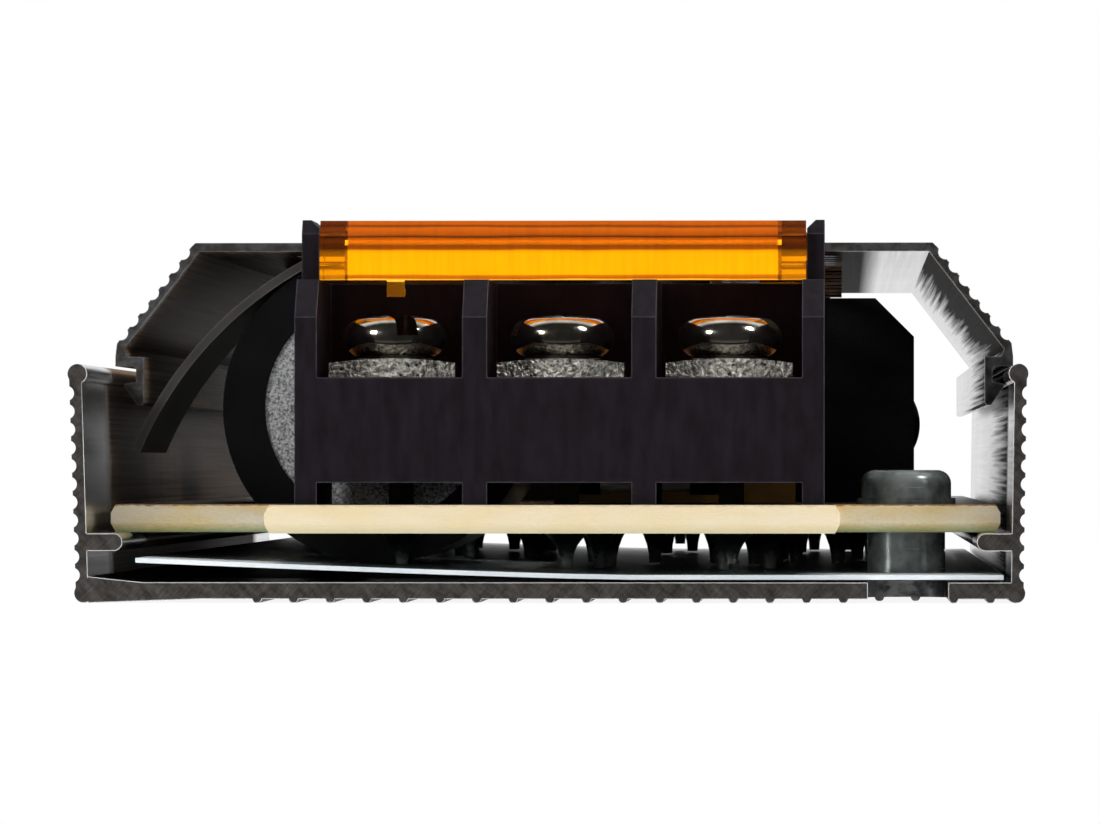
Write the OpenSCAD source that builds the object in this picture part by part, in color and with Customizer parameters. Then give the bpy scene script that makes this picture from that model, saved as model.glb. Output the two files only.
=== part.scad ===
// Slim switching power supply in a ribbed, two-part aluminium extrusion.
// X runs across the case, Y along it (input end at -Y), Z up from the resting plane.
// The origin is at the bottom centre of the tray.

/* [Case tray] */
// Length of the tray from end to end
tray_length = 160; // [152:1:220]
// Width between the inner faces of the tray walls at the floor
tray_inner_width = 51.7; // [51.2:0.1:58]
// Height from the resting plane to the top of the wall beads
tray_height = 13.4; // [12.6:0.1:14.6]
// Thickness of the side walls measured over their teeth
wall_t = 0.7; // [0.6:0.02:1]
// Thickness of the floor above its ribs
floor_t = 0.93; // [0.8:0.01:1.3]
// Outward lean of the left wall at its top
left_lean = 0.4; // [0:0.05:0.5]
// Outward lean of the right wall at its top
right_lean = 0.2; // [0:0.05:0.3]
// Radius of the bead along the top of each wall
bead_r = 0.55; // [0.45:0.01:0.65]
// Spacing of the teeth up the side walls
tooth_pitch = 1.02; // [0.9:0.01:1.4]
// Depth of the scallops between the wall teeth
tooth_depth = 0.25; // [0.12:0.01:0.32]
// Spacing of the ribs under the floor
rib_pitch = 2.054; // [1.6:0.001:3]
// Number of ribs under the floor
rib_count = 21; // [9:1:21]
// Height of the ribs under the floor
rib_h = 0.22; // [0.15:0.01:0.3]
// Clear height between the floor and the board ledges
ledge_gap = 1.76; // [1.6:0.01:3]
// Thickness of the board ledges
ledge_t = 0.98; // [0.8:0.01:1.4]
// Reach of the ledges in from the walls
ledge_reach = 1.9; // [1.5:0.05:2.5]
// Width of the open mounting slots
slot_w = 4.5; // [3.5:0.1:5.5]
// Length of the open mounting slots
slot_len = 9; // [6:0.5:10]
// Distance of the mounting slots and board screws from the tray walls
slot_inset = 5.75; // [5.3:0.05:6.2]

/* [Case cover] */
// Rise of the cover from its feet to its flat top
cover_rise = 7.15; // [6.8:0.05:10]
// Thickness of the flat top
cover_top_t = 0.5; // [0.4:0.05:0.7]
// Thickness of the sloping sides over their teeth
cover_side_t = 0.52; // [0.45:0.01:0.7]
// Inset of the flat top's edges from the tray walls
shoulder_inset = 4.7; // [3.5:0.1:6]
// Spacing of the teeth down the sloping sides
cover_tooth_pitch = 0.98; // [0.9:0.01:1.4]
// Depth of the scallops on the sloping sides
cover_tooth_depth = 0.22; // [0.1:0.01:0.28]
// Thickness of the feet that stand on the beads
foot_t = 0.55; // [0.45:0.01:0.7]
// Thickness of the snap legs
leg_t = 0.43; // [0.35:0.01:0.55]
// Length of the snap legs below the feet
leg_len = 2.25; // [2:0.05:2.6]
// Reach of the snap barbs beyond their legs
barb_reach = 0.7; // [0.4:0.05:0.75]
// Sideways offset of the cover in the tray
cover_shift = 0.3; // [0:0.05:0.35]
// Diameter of the vent holes in the flat top
vent_d = 3.4; // [2:0.1:4]
// Spacing of the vent holes
vent_pitch = 5.6; // [5:0.1:8]
// Plain margin around the field of vent holes
vent_margin = 4; // [3:0.5:8]

/* [Board and film] */
// Thickness of the circuit board
board_t = 1.6; // [1.2:0.1:1.8]
// Setback of the board's sides from the tray ends
board_setback = 10.5; // [9.5:0.5:12]
// Width of the board tongues that carry the terminal blocks
tongue_w = 32.3; // [31:0.1:33]
// Depth of the scored chamfers along the board's edges
score_depth = 0.28; // [0.1:0.02:0.4]
// Thickness of the insulating film
film_t = 0.26; // [0.15:0.01:0.35]
// Lift of the film's left edge off the floor
film_lift = 0.95; // [0.3:0.05:1]
// Outer diameter of the board spacers
spacer_d = 4.5; // [4:0.1:5]
// Thread diameter of the board screws
board_screw_d = 3; // [2.5:0.1:3]
// Head diameter of the board screws
board_head_d = 5.2; // [4.8:0.1:5.6]
// Head height of the board screws
board_head_h = 1.95; // [1.5:0.05:2.4]

/* [Terminal blocks] */
// Spacing of the poles
pole_pitch = 9.5; // [9:0.1:9.6]
// Thickness of the barriers between poles
barrier_t = 1.4; // [1.2:0.05:1.6]
// Thickness of the end walls
end_wall_t = 1.25; // [1.1:0.05:1.5]
// Depth of the block from front to back
block_depth = 15.3; // [14.8:0.1:17]
// Sideways offset of the input block
block_x = 0.55; // [0:0.05:0.8]
// Height of the block's feet above the board
block_foot_h = 1.25; // [1:0.05:1.6]
// Height of the terminal floor above the board
terminal_floor_h = 7.15; // [6.8:0.05:7.6]
// Height of the vertical front edges of the barriers above the terminal floor
barrier_front_h = 3.4; // [3:0.1:4]
// Height of the barriers above the terminal floor
barrier_h = 5.55; // [5.3:0.05:6]
// Height of the raised end walls above the terminal floor
end_wall_h = 9.05; // [8.6:0.05:10]
// Setback of the raised end walls from the block's front
end_setback = 6.9; // [6:0.1:7.4]
// Thickness of the contact plates
plate_t = 0.8; // [0.6:0.05:1]
// Width of the contact legs
leg_w = 1.45; // [1:0.05:1.6]

/* [Terminal screws] */
// Thread diameter of the terminal screws
screw_d = 3; // [2.6:0.1:3.2]
// Thread pitch of the terminal screws
screw_pitch = 0.5; // [0.4:0.05:0.6]
// Head diameter of the terminal screws
head_d = 5.9; // [5.4:0.1:6.4]
// Head height of the terminal screws
head_h = 2.5; // [2:0.1:2.5]
// Shank length of the terminal screws below the head
shank_len = 5.2; // [4.5:0.1:5.6]
// Side of the square clamp washers
washer_w = 7.15; // [6.6:0.05:7.4]
// Thickness of the clamp washers at their crown
washer_t = 1.05; // [0.9:0.05:1.15]
// Distance of the screw axes behind the block's front
screw_y = 5.8; // [5.4:0.1:6.2]

/* [Flip covers] */
// Wall thickness of the flip covers
flip_t = 1.1; // [0.9:0.05:1.3]
// Thickness of the flip covers' end cheeks
cheek_t = 1.4; // [1:0.05:1.6]
// Diameter of the flip covers' hinge pins
pin_d = 1.6; // [1.2:0.1:1.7]
// Distance of the hinge pins behind the block's front
pin_y = 11.9; // [11.6:0.1:12.2]
// Width of the peg under the flip cover
peg_w = 1; // [0.8:0.1:1.4]
// Length of the peg under the flip cover
peg_len = 0.95; // [0.5:0.05:1]

/* [Bulk capacitor] */
// Diameter of the bulk capacitor over its sleeve
bulk_d = 18; // [14:0.5:18]
// Length of the bulk capacitor
bulk_len = 36; // [25:1:38]
// Distance of the bulk capacitor's side from the tray's left wall
bulk_inset = 6.35; // [5.9:0.05:6.8]
// Thickness of the sleeves on all capacitors
sleeve_t = 0.15; // [0.1:0.05:0.25]
// Radius of the bare disc inside the bulk sleeve's rim
bare_r = 6.55; // [5:0.05:6.6]
// Thickness of the inner shield
shield_t = 0.5; // [0.3:0.05:0.55]
// Bend radius of the inner shield
shield_r = 22; // [21:0.5:24]
// Length of the inner shield along the case
shield_len = 20; // [12:1:34]

/* [Power parts] */
// Distance of the primary heat sink's right edge from the tray's right wall
sink_inset = 5.05; // [4.85:0.05:6.3]
// Room between the bulk capacitor and the primary heat sink
sink_room = 4.9; // [2:0.1:8]
// Height of the primary heat sink above the board
sink_h = 12.4; // [11:0.1:12.6]
// Thickness of both heat sinks
sink_t = 1.8; // [1.2:0.1:2.2]
// Cut at the top corners of both heat sinks
sink_cut = 2.35; // [1:0.05:3]
// Width of the output heat sink
output_sink_w = 24; // [18:0.5:26]
// Width of the transistor and output rectifier bodies
package_w = 10; // [8:0.1:10.4]
// Thickness of the transistor and output rectifier bodies
package_t = 4.4; // [3:0.1:4.6]
// Height of the transistor and output rectifier bodies
package_h = 8.6; // [7:0.1:9]
// Width of the transformer core
core_w = 27; // [22:0.5:28]
// Depth of the transformer core along the case
core_depth = 12; // [9:0.5:13]
// Height of the transformer core
core_h = 13.6; // [12:0.1:13.8]
// Thickness of the transformer core's legs and yokes
core_leg = 3.6; // [2.6:0.1:3.8]
// Length of the transformer winding along the case
winding_depth = 22; // [18:0.5:23]
// Diameter of the output capacitors over their sleeves
output_cap_d = 10; // [8:0.5:10.5]
// Height of the output capacitors
output_cap_h = 13; // [10:0.5:13.5]
// Number of output capacitors
output_cap_count = 3; // [1:1:3]
// Outer diameter of the toroid cores
toroid_d = 12; // [10:0.5:12]
// Height of the toroid cores
toroid_h = 5; // [4:0.5:6]
// Thickness of the toroid windings
toroid_wire = 0.9; // [0.6:0.05:1]

/* [Small parts] */
// Width of the transistor clip
clip_w = 5; // [4:0.5:7]
// Width of the line capacitor
line_cap_w = 13; // [10:0.5:13]
// Thickness of the line capacitor
line_cap_t = 6; // [4:0.5:6]
// Height of the line capacitor
line_cap_h = 11.5; // [9:0.5:13]
// Diameter of the fuse
fuse_d = 3.6; // [3:0.1:4]
// Length of the fuse
fuse_len = 10; // [8:0.5:11]
// Diameter of the safety capacitors
disc_d = 8; // [6:0.5:9]
// Thickness of the safety capacitors
disc_t = 4; // [2.5:0.1:4]
// Diameter of the thermistor
thermistor_d = 6.4; // [5:0.1:7]
// Thickness of the thermistor
thermistor_t = 4.4; // [3:0.1:4.6]
// Side of the trimmer body
trimmer_w = 6.4; // [5.5:0.1:6.8]
// Diameter of the trimmer rotor
rotor_d = 4; // [3:0.1:4.2]
// Diameter of the indicator
led_d = 3; // [2:0.1:3]

/* [Hidden] */
$fn = 48;

// Clearances
eps = 0.01;
seat_gap = 0.05;
slide_gap = 0.05;
pin_gap = 0.05;
thread_gap = 0.04;
washer_gap = 0.08;
soft_gap = 0.1;
part_gap = 1.2;

// Case levels, from the resting plane up
floor_top = rib_h + floor_t;
ledge_top = floor_top + ledge_gap + ledge_t;
board_top = ledge_top + board_t;
foot_z = tray_height + seat_gap;
cover_top = foot_z + cover_rise;
ceiling = cover_top - cover_top_t;

// Case widths, from the centre line out
inner_half = tray_inner_width / 2;
outer_half = inner_half + wall_t;
ledge_nose = inner_half - ledge_reach;
foot_half = inner_half + 0.15;
leg_half = foot_half - 1.2;
shoulder_half = inner_half - shoulder_inset;
board_half = inner_half - 0.4;
last_rib_x = inner_half - 1.15;
rib_r = rib_h * 1.25;
rib_flat = 0.02;
corner_r = 0.55;
scallop_r = 0.42;

// Places along the case
near = -tray_length / 2;
far = tray_length / 2;
block_setback = 0.7;
cover_setback = block_setback + block_depth + 0.75;
cover_len = tray_length - 2 * cover_setback;
input_poles = 3;
output_poles = 2;
output_x = 0;

// Board screws: beside the blocks where there is room, otherwise just behind them
slot_x = inner_half - slot_inset;
board_flange_r = board_head_d / 2 + 0.25;
beside_x = block_x + (input_poles * pole_pitch + end_wall_t) / 2 + board_flange_r + 0.2;
screw_setback = slot_x > beside_x ? 15.5 : block_setback + block_depth + board_flange_r + 0.2;

// Film: flat on the right, rising towards its left edge
film_z = floor_top + 0.15;
film_left = -(inner_half - 2.6);
film_right = inner_half - 0.4;
film_bend = 4;
function film_base(x) = x > film_bend ? film_z
    : film_z + film_lift * pow((film_bend - x) / (film_bend - film_left), 1.2);

// Terminal blocks, in each block's own frame: x across, y from front to back, z up from the board
washer_z = terminal_floor_h + seat_gap;
head_z = washer_z + washer_t + 0.02;
slot_depth = 1.2;
driver_slot_w = 1.2;
pin_r = pin_d / 2;
knuckle_r = pin_r + 0.55;
pin_z = terminal_floor_h + end_wall_h - knuckle_r - 0.05;
flip_front = end_setback - 0.6;
flip_bottom = terminal_floor_h + barrier_h + seat_gap;
flip_top = pin_z + knuckle_r;
leg_y = block_depth - 1.9;
function block_w(poles) = poles * pole_pitch + end_wall_t;
function pole_x(i, poles) = (i - (poles - 1) / 2) * pole_pitch;

// Bulk capacitor and shield
bulk_r = bulk_d / 2;
bulk_x = bulk_inset + bulk_r - inner_half;
bulk_right = bulk_x + bulk_r;
bulk_z = film_base(bulk_x) + film_t + 0.03 + bulk_r;
bulk_near = near + cover_setback + 0.75;
bulk_far = bulk_near + bulk_len;
bulk_lead_x = 3.75;
bulk_lead_y = bulk_far + 2;
can_r = bulk_r - sleeve_t;
shield_touch = 120;
shield_from = 118;
shield_to = 157;
shield_cx = bulk_x + (bulk_r + soft_gap - shield_r) * cos(shield_touch);
shield_cz = bulk_z + (bulk_r + soft_gap - shield_r) * sin(shield_touch);

// Row beside the bulk capacitor, from the input block inwards
toroid_out = toroid_d / 2 + toroid_wire;
row_x = bulk_right + 1.8 + max(toroid_out, line_cap_w / 2);
fuse_x = bulk_right + 1.5 + fuse_len / 2;
fuse_y = near + cover_setback + fuse_d / 2 + 0.2;
line_cap_y = fuse_y + fuse_d / 2 + part_gap + line_cap_t / 2;
choke_y = line_cap_y + line_cap_t / 2 + part_gap + toroid_out;
sink_y = choke_y + toroid_out + part_gap;
sink_right = inner_half - sink_inset;
sink_w = sink_right - bulk_right - sink_room;
package_x = sink_right - sink_w / 2 + 1.5;
package_lift = 3;
transistor_y = sink_y + sink_t + package_t / 2;
clip_right = sink_right - 4.4;
bridge_w = 14;
bridge_t = 4;
bridge_h = 10.5;
bridge_lift = 0.6;
bridge_x = bulk_right + part_gap + bridge_w / 2;
bridge_y = transistor_y + package_t / 2 + part_gap + bridge_t;
thermistor_x = sink_right + 0.55 - thermistor_d / 2;
thermistor_y = bridge_y + bridge_t / 2 + part_gap + 4.6 + thermistor_t / 2;
thermistor_lift = 1.6;

// Output parts, from the output block inwards
trimmer_x = inner_half - 8.85;
trimmer_y = far - cover_setback - trimmer_w / 2 - part_gap / 2;
trimmer_seat = 2.6;
led_y = far - 14.5;
output_cap_x = output_cap_d / 2 + 2.15 - shoulder_half;
output_cap_y = trimmer_y - trimmer_w / 2 - part_gap - output_cap_d / 2;
inductor_y = output_cap_y - output_cap_d / 2 - part_gap / 2 - toroid_out;
output_sink_x = output_sink_w / 2 + 3.15 - shoulder_half;
output_sink_y = inductor_y - toroid_out - part_gap - sink_t;
inductor_x = output_sink_x + 15;
rectifier_y = output_sink_y + sink_t + package_t / 2;

// Middle of the board: the transformer and a row of resistors on the left, evenly spaced
bobbin_t = 0.8;
transformer_x = core_w / 2 + 2.15 - shoulder_half;
transformer_len = winding_depth + 1;
transformer_lift = 0.5;
resistor_len = 5;
resistor_stagger = 1.2;
resistor_pitch = 4.4;
left_gap = (output_sink_y - bulk_lead_y - transformer_len - resistor_len - resistor_stagger) / 3;
transformer_y = bulk_lead_y + left_gap + transformer_len / 2;
resistor_y = output_sink_y - left_gap - resistor_stagger - resistor_len / 2;

// Middle of the board: discs and small packages on the right, evenly spaced
disc_lift = 0.6;
chip_w = 6.4;
chip_len = 9.4;
coupler_len = 4.6;
small_x = transformer_x + core_w / 2 + 3 + disc_d / 2;
right_from = thermistor_y + thermistor_t / 2;
right_to = inductor_y - toroid_out;
right_gap = (right_to - right_from - 2 * disc_t - chip_len - coupler_len) / 5;
chip_y = right_from + 3 * right_gap + 2 * disc_t + chip_len / 2;
coupler_y = right_to - right_gap - coupler_len / 2;
function disc_y(i) = right_from + (i + 1) * right_gap + (i + 0.5) * disc_t;

// Leads and solder
pin_pitch = 2.54;
chip_pitch = 2.3;
chip_pin_x = chip_w / 2 + 0.15;
bridge_pitch = 3.8;
joint_r = 1.45;
joint_h = 1.85;

// ---------- helpers ----------

// Extrudes a profile drawn in X and Z along the case, centred on the origin
module along_case(len) {
    rotate([90, 0, 0]) linear_extrude(len, center = true) children();
}

// Extrudes a profile drawn in Y and Z across the case, centred on the origin
module across_case(len) {
    rotate([90, 0, 90]) linear_extrude(len, center = true) children();
}

// A box given by its centre in X and Y, its size, and its lowest height
module standing_box(x, y, z, w, d, h) {
    translate([x - w / 2, y - d / 2, z]) cube([w, d, h]);
}

// A ring-shaped core or winding with its axis upright
module ring_solid(d_out, d_in, h) {
    rotate_extrude() translate([d_in / 2, 0]) square([(d_out - d_in) / 2, h]);
}

// Puts a child at the input block's frame
module at_input() {
    translate([block_x, near + block_setback, board_top]) children();
}

// Puts a child at the output block's frame, turned to face the far end
module at_output() {
    translate([output_x, far - block_setback, board_top]) rotate([0, 0, 180]) children();
}

// ---------- case ----------

// One wall of the tray with its bead, teeth, ledge and lower corner; side is -1 or 1
module tray_side_profile(side, lean) {
    wall_top = tray_height - bead_r;
    top_in = inner_half + lean;
    tooth_count = floor((wall_top - 1.6) / tooth_pitch);
    mirror([side < 0 ? 1 : 0, 0]) {
        difference() {
            polygon([[inner_half, rib_h], [outer_half, rib_h], [outer_half + lean, wall_top],
                [top_in, wall_top]]);
            for (i = [0:tooth_count - 1]) {
                z = 1.55 + i * tooth_pitch;
                face = outer_half + lean * (z - rib_h) / (wall_top - rib_h);
                translate([face + scallop_r - tooth_depth, z]) circle(scallop_r, $fn = 24);
            }
        }
        translate([top_in + wall_t / 2 - 0.12, wall_top]) circle(bead_r);
        translate([ledge_nose + ledge_t / 2, floor_top + ledge_gap])
            square([ledge_reach - ledge_t / 2 + wall_t / 2, ledge_t]);
        translate([ledge_nose + ledge_t / 2, floor_top + ledge_gap + ledge_t / 2]) circle(ledge_t / 2);
        translate([outer_half - corner_r + 0.1, corner_r]) circle(corner_r);
    }
}

// Floor, ribs and the plain thickened strip in the left corner
module tray_floor_profile() {
    strip_w = 6.4;
    fillet_w = 3;
    translate([-inner_half - wall_t / 2, rib_h]) square([tray_inner_width + wall_t, floor_t]);
    polygon([[-inner_half, 0], [-inner_half + strip_w, rib_h], [-inner_half + fillet_w, floor_top],
        [-inner_half, floor_top + 0.32], [-inner_half - wall_t / 2, floor_top]]);
    intersection() {
        for (i = [0:rib_count - 1])
            translate([last_rib_x - i * rib_pitch, rib_r - rib_flat]) circle(rib_r, $fn = 24);
        translate([-inner_half, 0]) square([tray_inner_width, rib_h + eps]);
    }
}

// Open-ended slot through the floor; it points towards the given end
module mounting_slot(x, end_y, inward) {
    translate([x, end_y + inward * (slot_len - slot_w / 2), -1])
        cylinder(d = slot_w, h = floor_top + 1.5);
    translate([x - slot_w / 2, min(end_y - 1, end_y + inward * (slot_len - slot_w / 2)), -1])
        cube([slot_w, slot_len - slot_w / 2 + 1, floor_top + 1.5]);
}

module case_tray() {
    color([0.55, 0.56, 0.57]) difference() {
        along_case(tray_length) union() {
            tray_floor_profile();
            tray_side_profile(-1, left_lean);
            tray_side_profile(1, right_lean);
        }
        mounting_slot(slot_x, near, 1);
        mounting_slot(-slot_x, far, -1);
        for (s = [-1, 1])
            translate([-s * slot_x, s * (far - screw_setback), -1])
                cylinder(d = spacer_d - 1, h = floor_top + 2);
    }
}

// Right half of the cover, drawn about the cover's own centre line
module cover_half_profile() {
    inner_top = [shoulder_half, ceiling];
    inner_low = [foot_half - 0.5, foot_z + foot_t + 0.45];
    run = inner_low - inner_top;
    slope_len = norm(run);
    dir = run / slope_len;
    out = [-dir.y, dir.x];
    leg_in = leg_half - leg_t;
    barb_root_z = foot_z - 0.4 * leg_len;
    barb_tip_z = foot_z - 0.5 * leg_len;
    leg_end_z = foot_z - leg_len;
    difference() {
        polygon([[-eps, ceiling], inner_top, inner_low, [foot_half - 0.7, foot_z + foot_t],
            [leg_in, foot_z + foot_t], [leg_in, leg_end_z + 0.15], [leg_in + 0.1, leg_end_z],
            [leg_in + 0.35, leg_end_z], [leg_half + barb_reach, barb_tip_z],
            [leg_half + barb_reach - 0.05, barb_tip_z + 0.1], [leg_half, barb_root_z],
            [leg_half, foot_z - 0.15], [leg_half + 0.15, foot_z], [foot_half, foot_z],
            [foot_half, foot_z + foot_t], inner_low + out * cover_side_t,
            inner_top + out * cover_side_t + dir * 0.1, [shoulder_half + 0.2, cover_top],
            [-eps, cover_top]]);
        for (i = [0:floor((slope_len - 0.6) / cover_tooth_pitch)])
            translate(inner_top + dir * (0.62 + i * cover_tooth_pitch)
                + out * (cover_side_t + scallop_r - cover_tooth_depth))
                circle(scallop_r, $fn = 24);
    }
}

// Rows of round vents, every second row shifted by half a pitch
module vent_field() {
    row_step = vent_pitch * sin(60);
    rows = floor((shoulder_half - vent_margin) / row_step);
    cols = floor((cover_len - 2 * vent_margin - vent_d) / vent_pitch) - 1;
    for (r = [-rows:rows], c = [0:cols - abs(r) % 2])
        translate([r * row_step, (c - (cols - abs(r) % 2) / 2) * vent_pitch, ceiling - 1])
            cylinder(d = vent_d, h = cover_top_t + 2, $fn = 24);
}

module case_cover() {
    color([0.6, 0.61, 0.62]) translate([cover_shift, 0, 0]) difference() {
        along_case(cover_len) union() {
            cover_half_profile();
            mirror([1, 0]) cover_half_profile();
        }
        vent_field();
    }
}

module inner_shield() {
    reach = shield_r + 5;
    color([0.22, 0.22, 0.23]) translate([0, bulk_near + shield_len / 2 - 0.3, 0])
        along_case(shield_len) translate([shield_cx, shield_cz]) intersection() {
            difference() {
                circle(shield_r + shield_t, $fn = 96);
                circle(shield_r, $fn = 96);
            }
            polygon([[0, 0], reach * [cos(shield_from), sin(shield_from)],
                reach * 1.1 * [cos(137), sin(137)], reach * [cos(shield_to), sin(shield_to)]]);
        }
}

// ---------- film, board and its fixings ----------

module insulating_film() {
    steps = 14;
    span = film_right - film_left;
    color([0.85, 0.9, 0.93]) difference() {
        along_case(tray_length - 1) polygon(concat(
            [for (i = [0:steps]) let (x = film_left + span * i / steps) [x, film_base(x)]],
            [for (i = [steps:-1:0]) let (x = film_left + span * i / steps) [x, film_base(x) + film_t]]));
        for (s = [-1, 1])
            translate([-s * slot_x, s * (far - screw_setback), 0])
                cylinder(d = spacer_d + 0.6, h = ledge_top);
    }
}

// Cross-section of the board with scored edges
module board_profile(half) {
    polygon([[-half + score_depth, ledge_top], [half - score_depth, ledge_top],
        [half, ledge_top + 0.5], [half, board_top - 0.5], [half - score_depth, board_top],
        [-half + score_depth, board_top], [-half, board_top - 0.5], [-half, ledge_top + 0.5]]);
}

module circuit_board() {
    main_len = tray_length - 2 * board_setback;
    tongue_len = board_setback - 0.5;
    color([0.16, 0.32, 0.2]) difference() {
        union() {
            along_case(main_len) board_profile(board_half);
            for (s = [-1, 1])
                translate([s < 0 ? block_x - 0.4 : output_x, s * (main_len + tongue_len) / 2, 0])
                    along_case(tongue_len + 0.5) board_profile(tongue_w / 2);
        }
        standing_box(bulk_x, bulk_near + bulk_len / 2, 0, bulk_d + 0.6, bulk_len + 1.4, board_top + 1);
        for (s = [-1, 1])
            translate([-s * slot_x, s * (far - screw_setback), 0])
                cylinder(d = board_screw_d + 0.4, h = board_top + 1);
        at_input() leg_holes(input_poles);
        at_output() leg_holes(output_poles);
    }
}

// Holes for the contact legs of a terminal block
module leg_holes(poles) {
    for (i = [0:poles - 1])
        translate([pole_x(i, poles), leg_y, -board_t - 1])
            cylinder(d = sqrt(leg_w * leg_w + plate_t * plate_t) + 0.1, h = board_t + 2);
}

module board_spacers() {
    groove = 0.12;
    color([0.72, 0.73, 0.74]) for (s = [-1, 1])
        translate([-s * slot_x, s * (far - screw_setback), 0]) difference() {
            union() {
                translate([0, 0, rib_h]) cylinder(d = spacer_d - 1.02, h = floor_top - rib_h + eps);
                difference() {
                    translate([0, 0, floor_top]) cylinder(d = spacer_d, h = ledge_top - floor_top);
                    translate([0, 0, floor_top + 1.6]) difference() {
                        cylinder(d = spacer_d + 1, h = groove);
                        translate([0, 0, -1]) cylinder(d = spacer_d - 0.1, h = groove + 2);
                    }
                }
            }
            translate([0, 0, rib_h + 0.4]) cylinder(d = board_screw_d, h = ledge_top);
        }
}

module board_screws() {
    flange = 0.35;
    edge_r = board_head_h * 0.4;
    color([0.8, 0.8, 0.8]) for (s = [-1, 1])
        translate([-s * slot_x, s * (far - screw_setback), board_top]) difference() {
            union() {
                cylinder(r = board_flange_r, h = flange);
                rotate_extrude() {
                    square([board_head_d / 2 - edge_r, board_head_h]);
                    square([board_head_d / 2, board_head_h - edge_r]);
                    intersection() {
                        translate([board_head_d / 2 - edge_r, board_head_h - edge_r]) circle(edge_r);
                        square([board_head_d, board_head_h]);
                    }
                }
                translate([0, 0, -board_t - 2])
                    cylinder(d = board_screw_d - 2 * thread_gap, h = board_t + 2.1);
            }
            for (a = [20, 110])
                rotate([0, 0, a]) standing_box(0, 0, board_head_h - 1, 2.8, 0.7, 2);
        }
}

// ---------- terminal blocks ----------

// Side outline of a barrier between two poles
module barrier_outline() {
    z0 = terminal_floor_h;
    polygon([[0, 0], [0, z0 + barrier_front_h], [2.4, z0 + barrier_h],
        [block_depth, z0 + barrier_h], [block_depth, 0]]);
}

// Raised rear part of an end wall
module end_wall_outline() {
    z0 = terminal_floor_h;
    polygon([[end_setback, z0 + barrier_h - 1], [end_setback, z0 + end_wall_h - 0.8],
        [end_setback + 0.8, z0 + end_wall_h], [pin_y + knuckle_r + 0.4, z0 + end_wall_h],
        [block_depth, z0 + barrier_h + 1], [block_depth, z0 + barrier_h - 1]]);
}

module terminal_block(poles) {
    w = block_w(poles);
    upper_t = 1;
    difference() {
        union() {
            standing_box(0, block_depth / 2, block_foot_h, w, block_depth,
                terminal_floor_h - block_foot_h);
            translate([-w / 2, block_depth - 1.2, block_foot_h])
                cube([w, 1.2, terminal_floor_h + barrier_h - block_foot_h]);
            for (i = [1:poles - 1])
                translate([(i - poles / 2) * pole_pitch, 0, 0]) across_case(barrier_t) barrier_outline();
            for (s = [-1, 1]) {
                translate([s * (w - end_wall_t) / 2, 0, 0]) across_case(end_wall_t) barrier_outline();
                translate([s * (w - upper_t) / 2, 0, 0]) across_case(upper_t) end_wall_outline();
            }
        }
        // chamfer on the inner top edge of each raised end wall
        for (s = [-1, 1])
            translate([s * (w / 2 - upper_t), block_depth / 2, terminal_floor_h + end_wall_h])
                rotate([0, 45, 0]) cube([0.7, block_depth + 1, 0.7], center = true);
        for (s = [-1, 1])
            translate([s * w / 2, pin_y, pin_z]) rotate([0, 90, 0])
                cylinder(d = pin_d + 2 * pin_gap, h = 4, center = true);
        for (i = [0:poles - 1]) translate([pole_x(i, poles), 0, 0]) {
            // seat of the contact plate, its leg slot and the well below the screw
            standing_box(0, (1.2 + leg_y + plate_t / 2) / 2, terminal_floor_h - plate_t - 0.02,
                washer_w - 0.4, leg_y + plate_t / 2 - 1.2 + 0.1, plate_t + 1);
            standing_box(0, leg_y, 0, leg_w + 0.1, plate_t + 0.1, terminal_floor_h);
            translate([0, screw_y, block_foot_h + 0.6]) cylinder(d = screw_d + 0.8, h = terminal_floor_h);
        }
        // clearance below the body between the feet
        for (i = [0:poles - 1])
            standing_box(pole_x(i, poles), block_depth / 2, -1, pole_pitch - barrier_t,
                block_depth + 1, block_foot_h + 1);
    }
}

module contact_plates(poles) {
    for (i = [0:poles - 1]) translate([pole_x(i, poles), 0, 0]) {
        difference() {
            standing_box(0, (1.25 + leg_y + plate_t / 2) / 2, terminal_floor_h - plate_t,
                washer_w - 0.5, leg_y + plate_t / 2 - 1.25, plate_t);
            translate([0, screw_y, 0]) cylinder(d = screw_d + 2 * thread_gap, h = terminal_floor_h + 1);
        }
        standing_box(0, leg_y, -board_t, leg_w, plate_t, terminal_floor_h - plate_t + board_t + eps);
    }
}

// Square clamp washer with a slightly crowned top
module clamp_washer() {
    crown = 0.25;
    crown_r = (pow(washer_w / 2, 2) + crown * crown) / (2 * crown);
    difference() {
        translate([0, screw_y, washer_z]) intersection() {
            standing_box(0, 0, 0, washer_w, washer_w, washer_t);
            translate([0, 0, washer_t - crown_r]) rotate([90, 0, 0])
                cylinder(r = crown_r, h = washer_w + 1, center = true, $fn = 180);
        }
        translate([0, screw_y, washer_z - 1]) cylinder(d = screw_d + 2 * washer_gap, h = washer_t + 2);
    }
}

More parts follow.
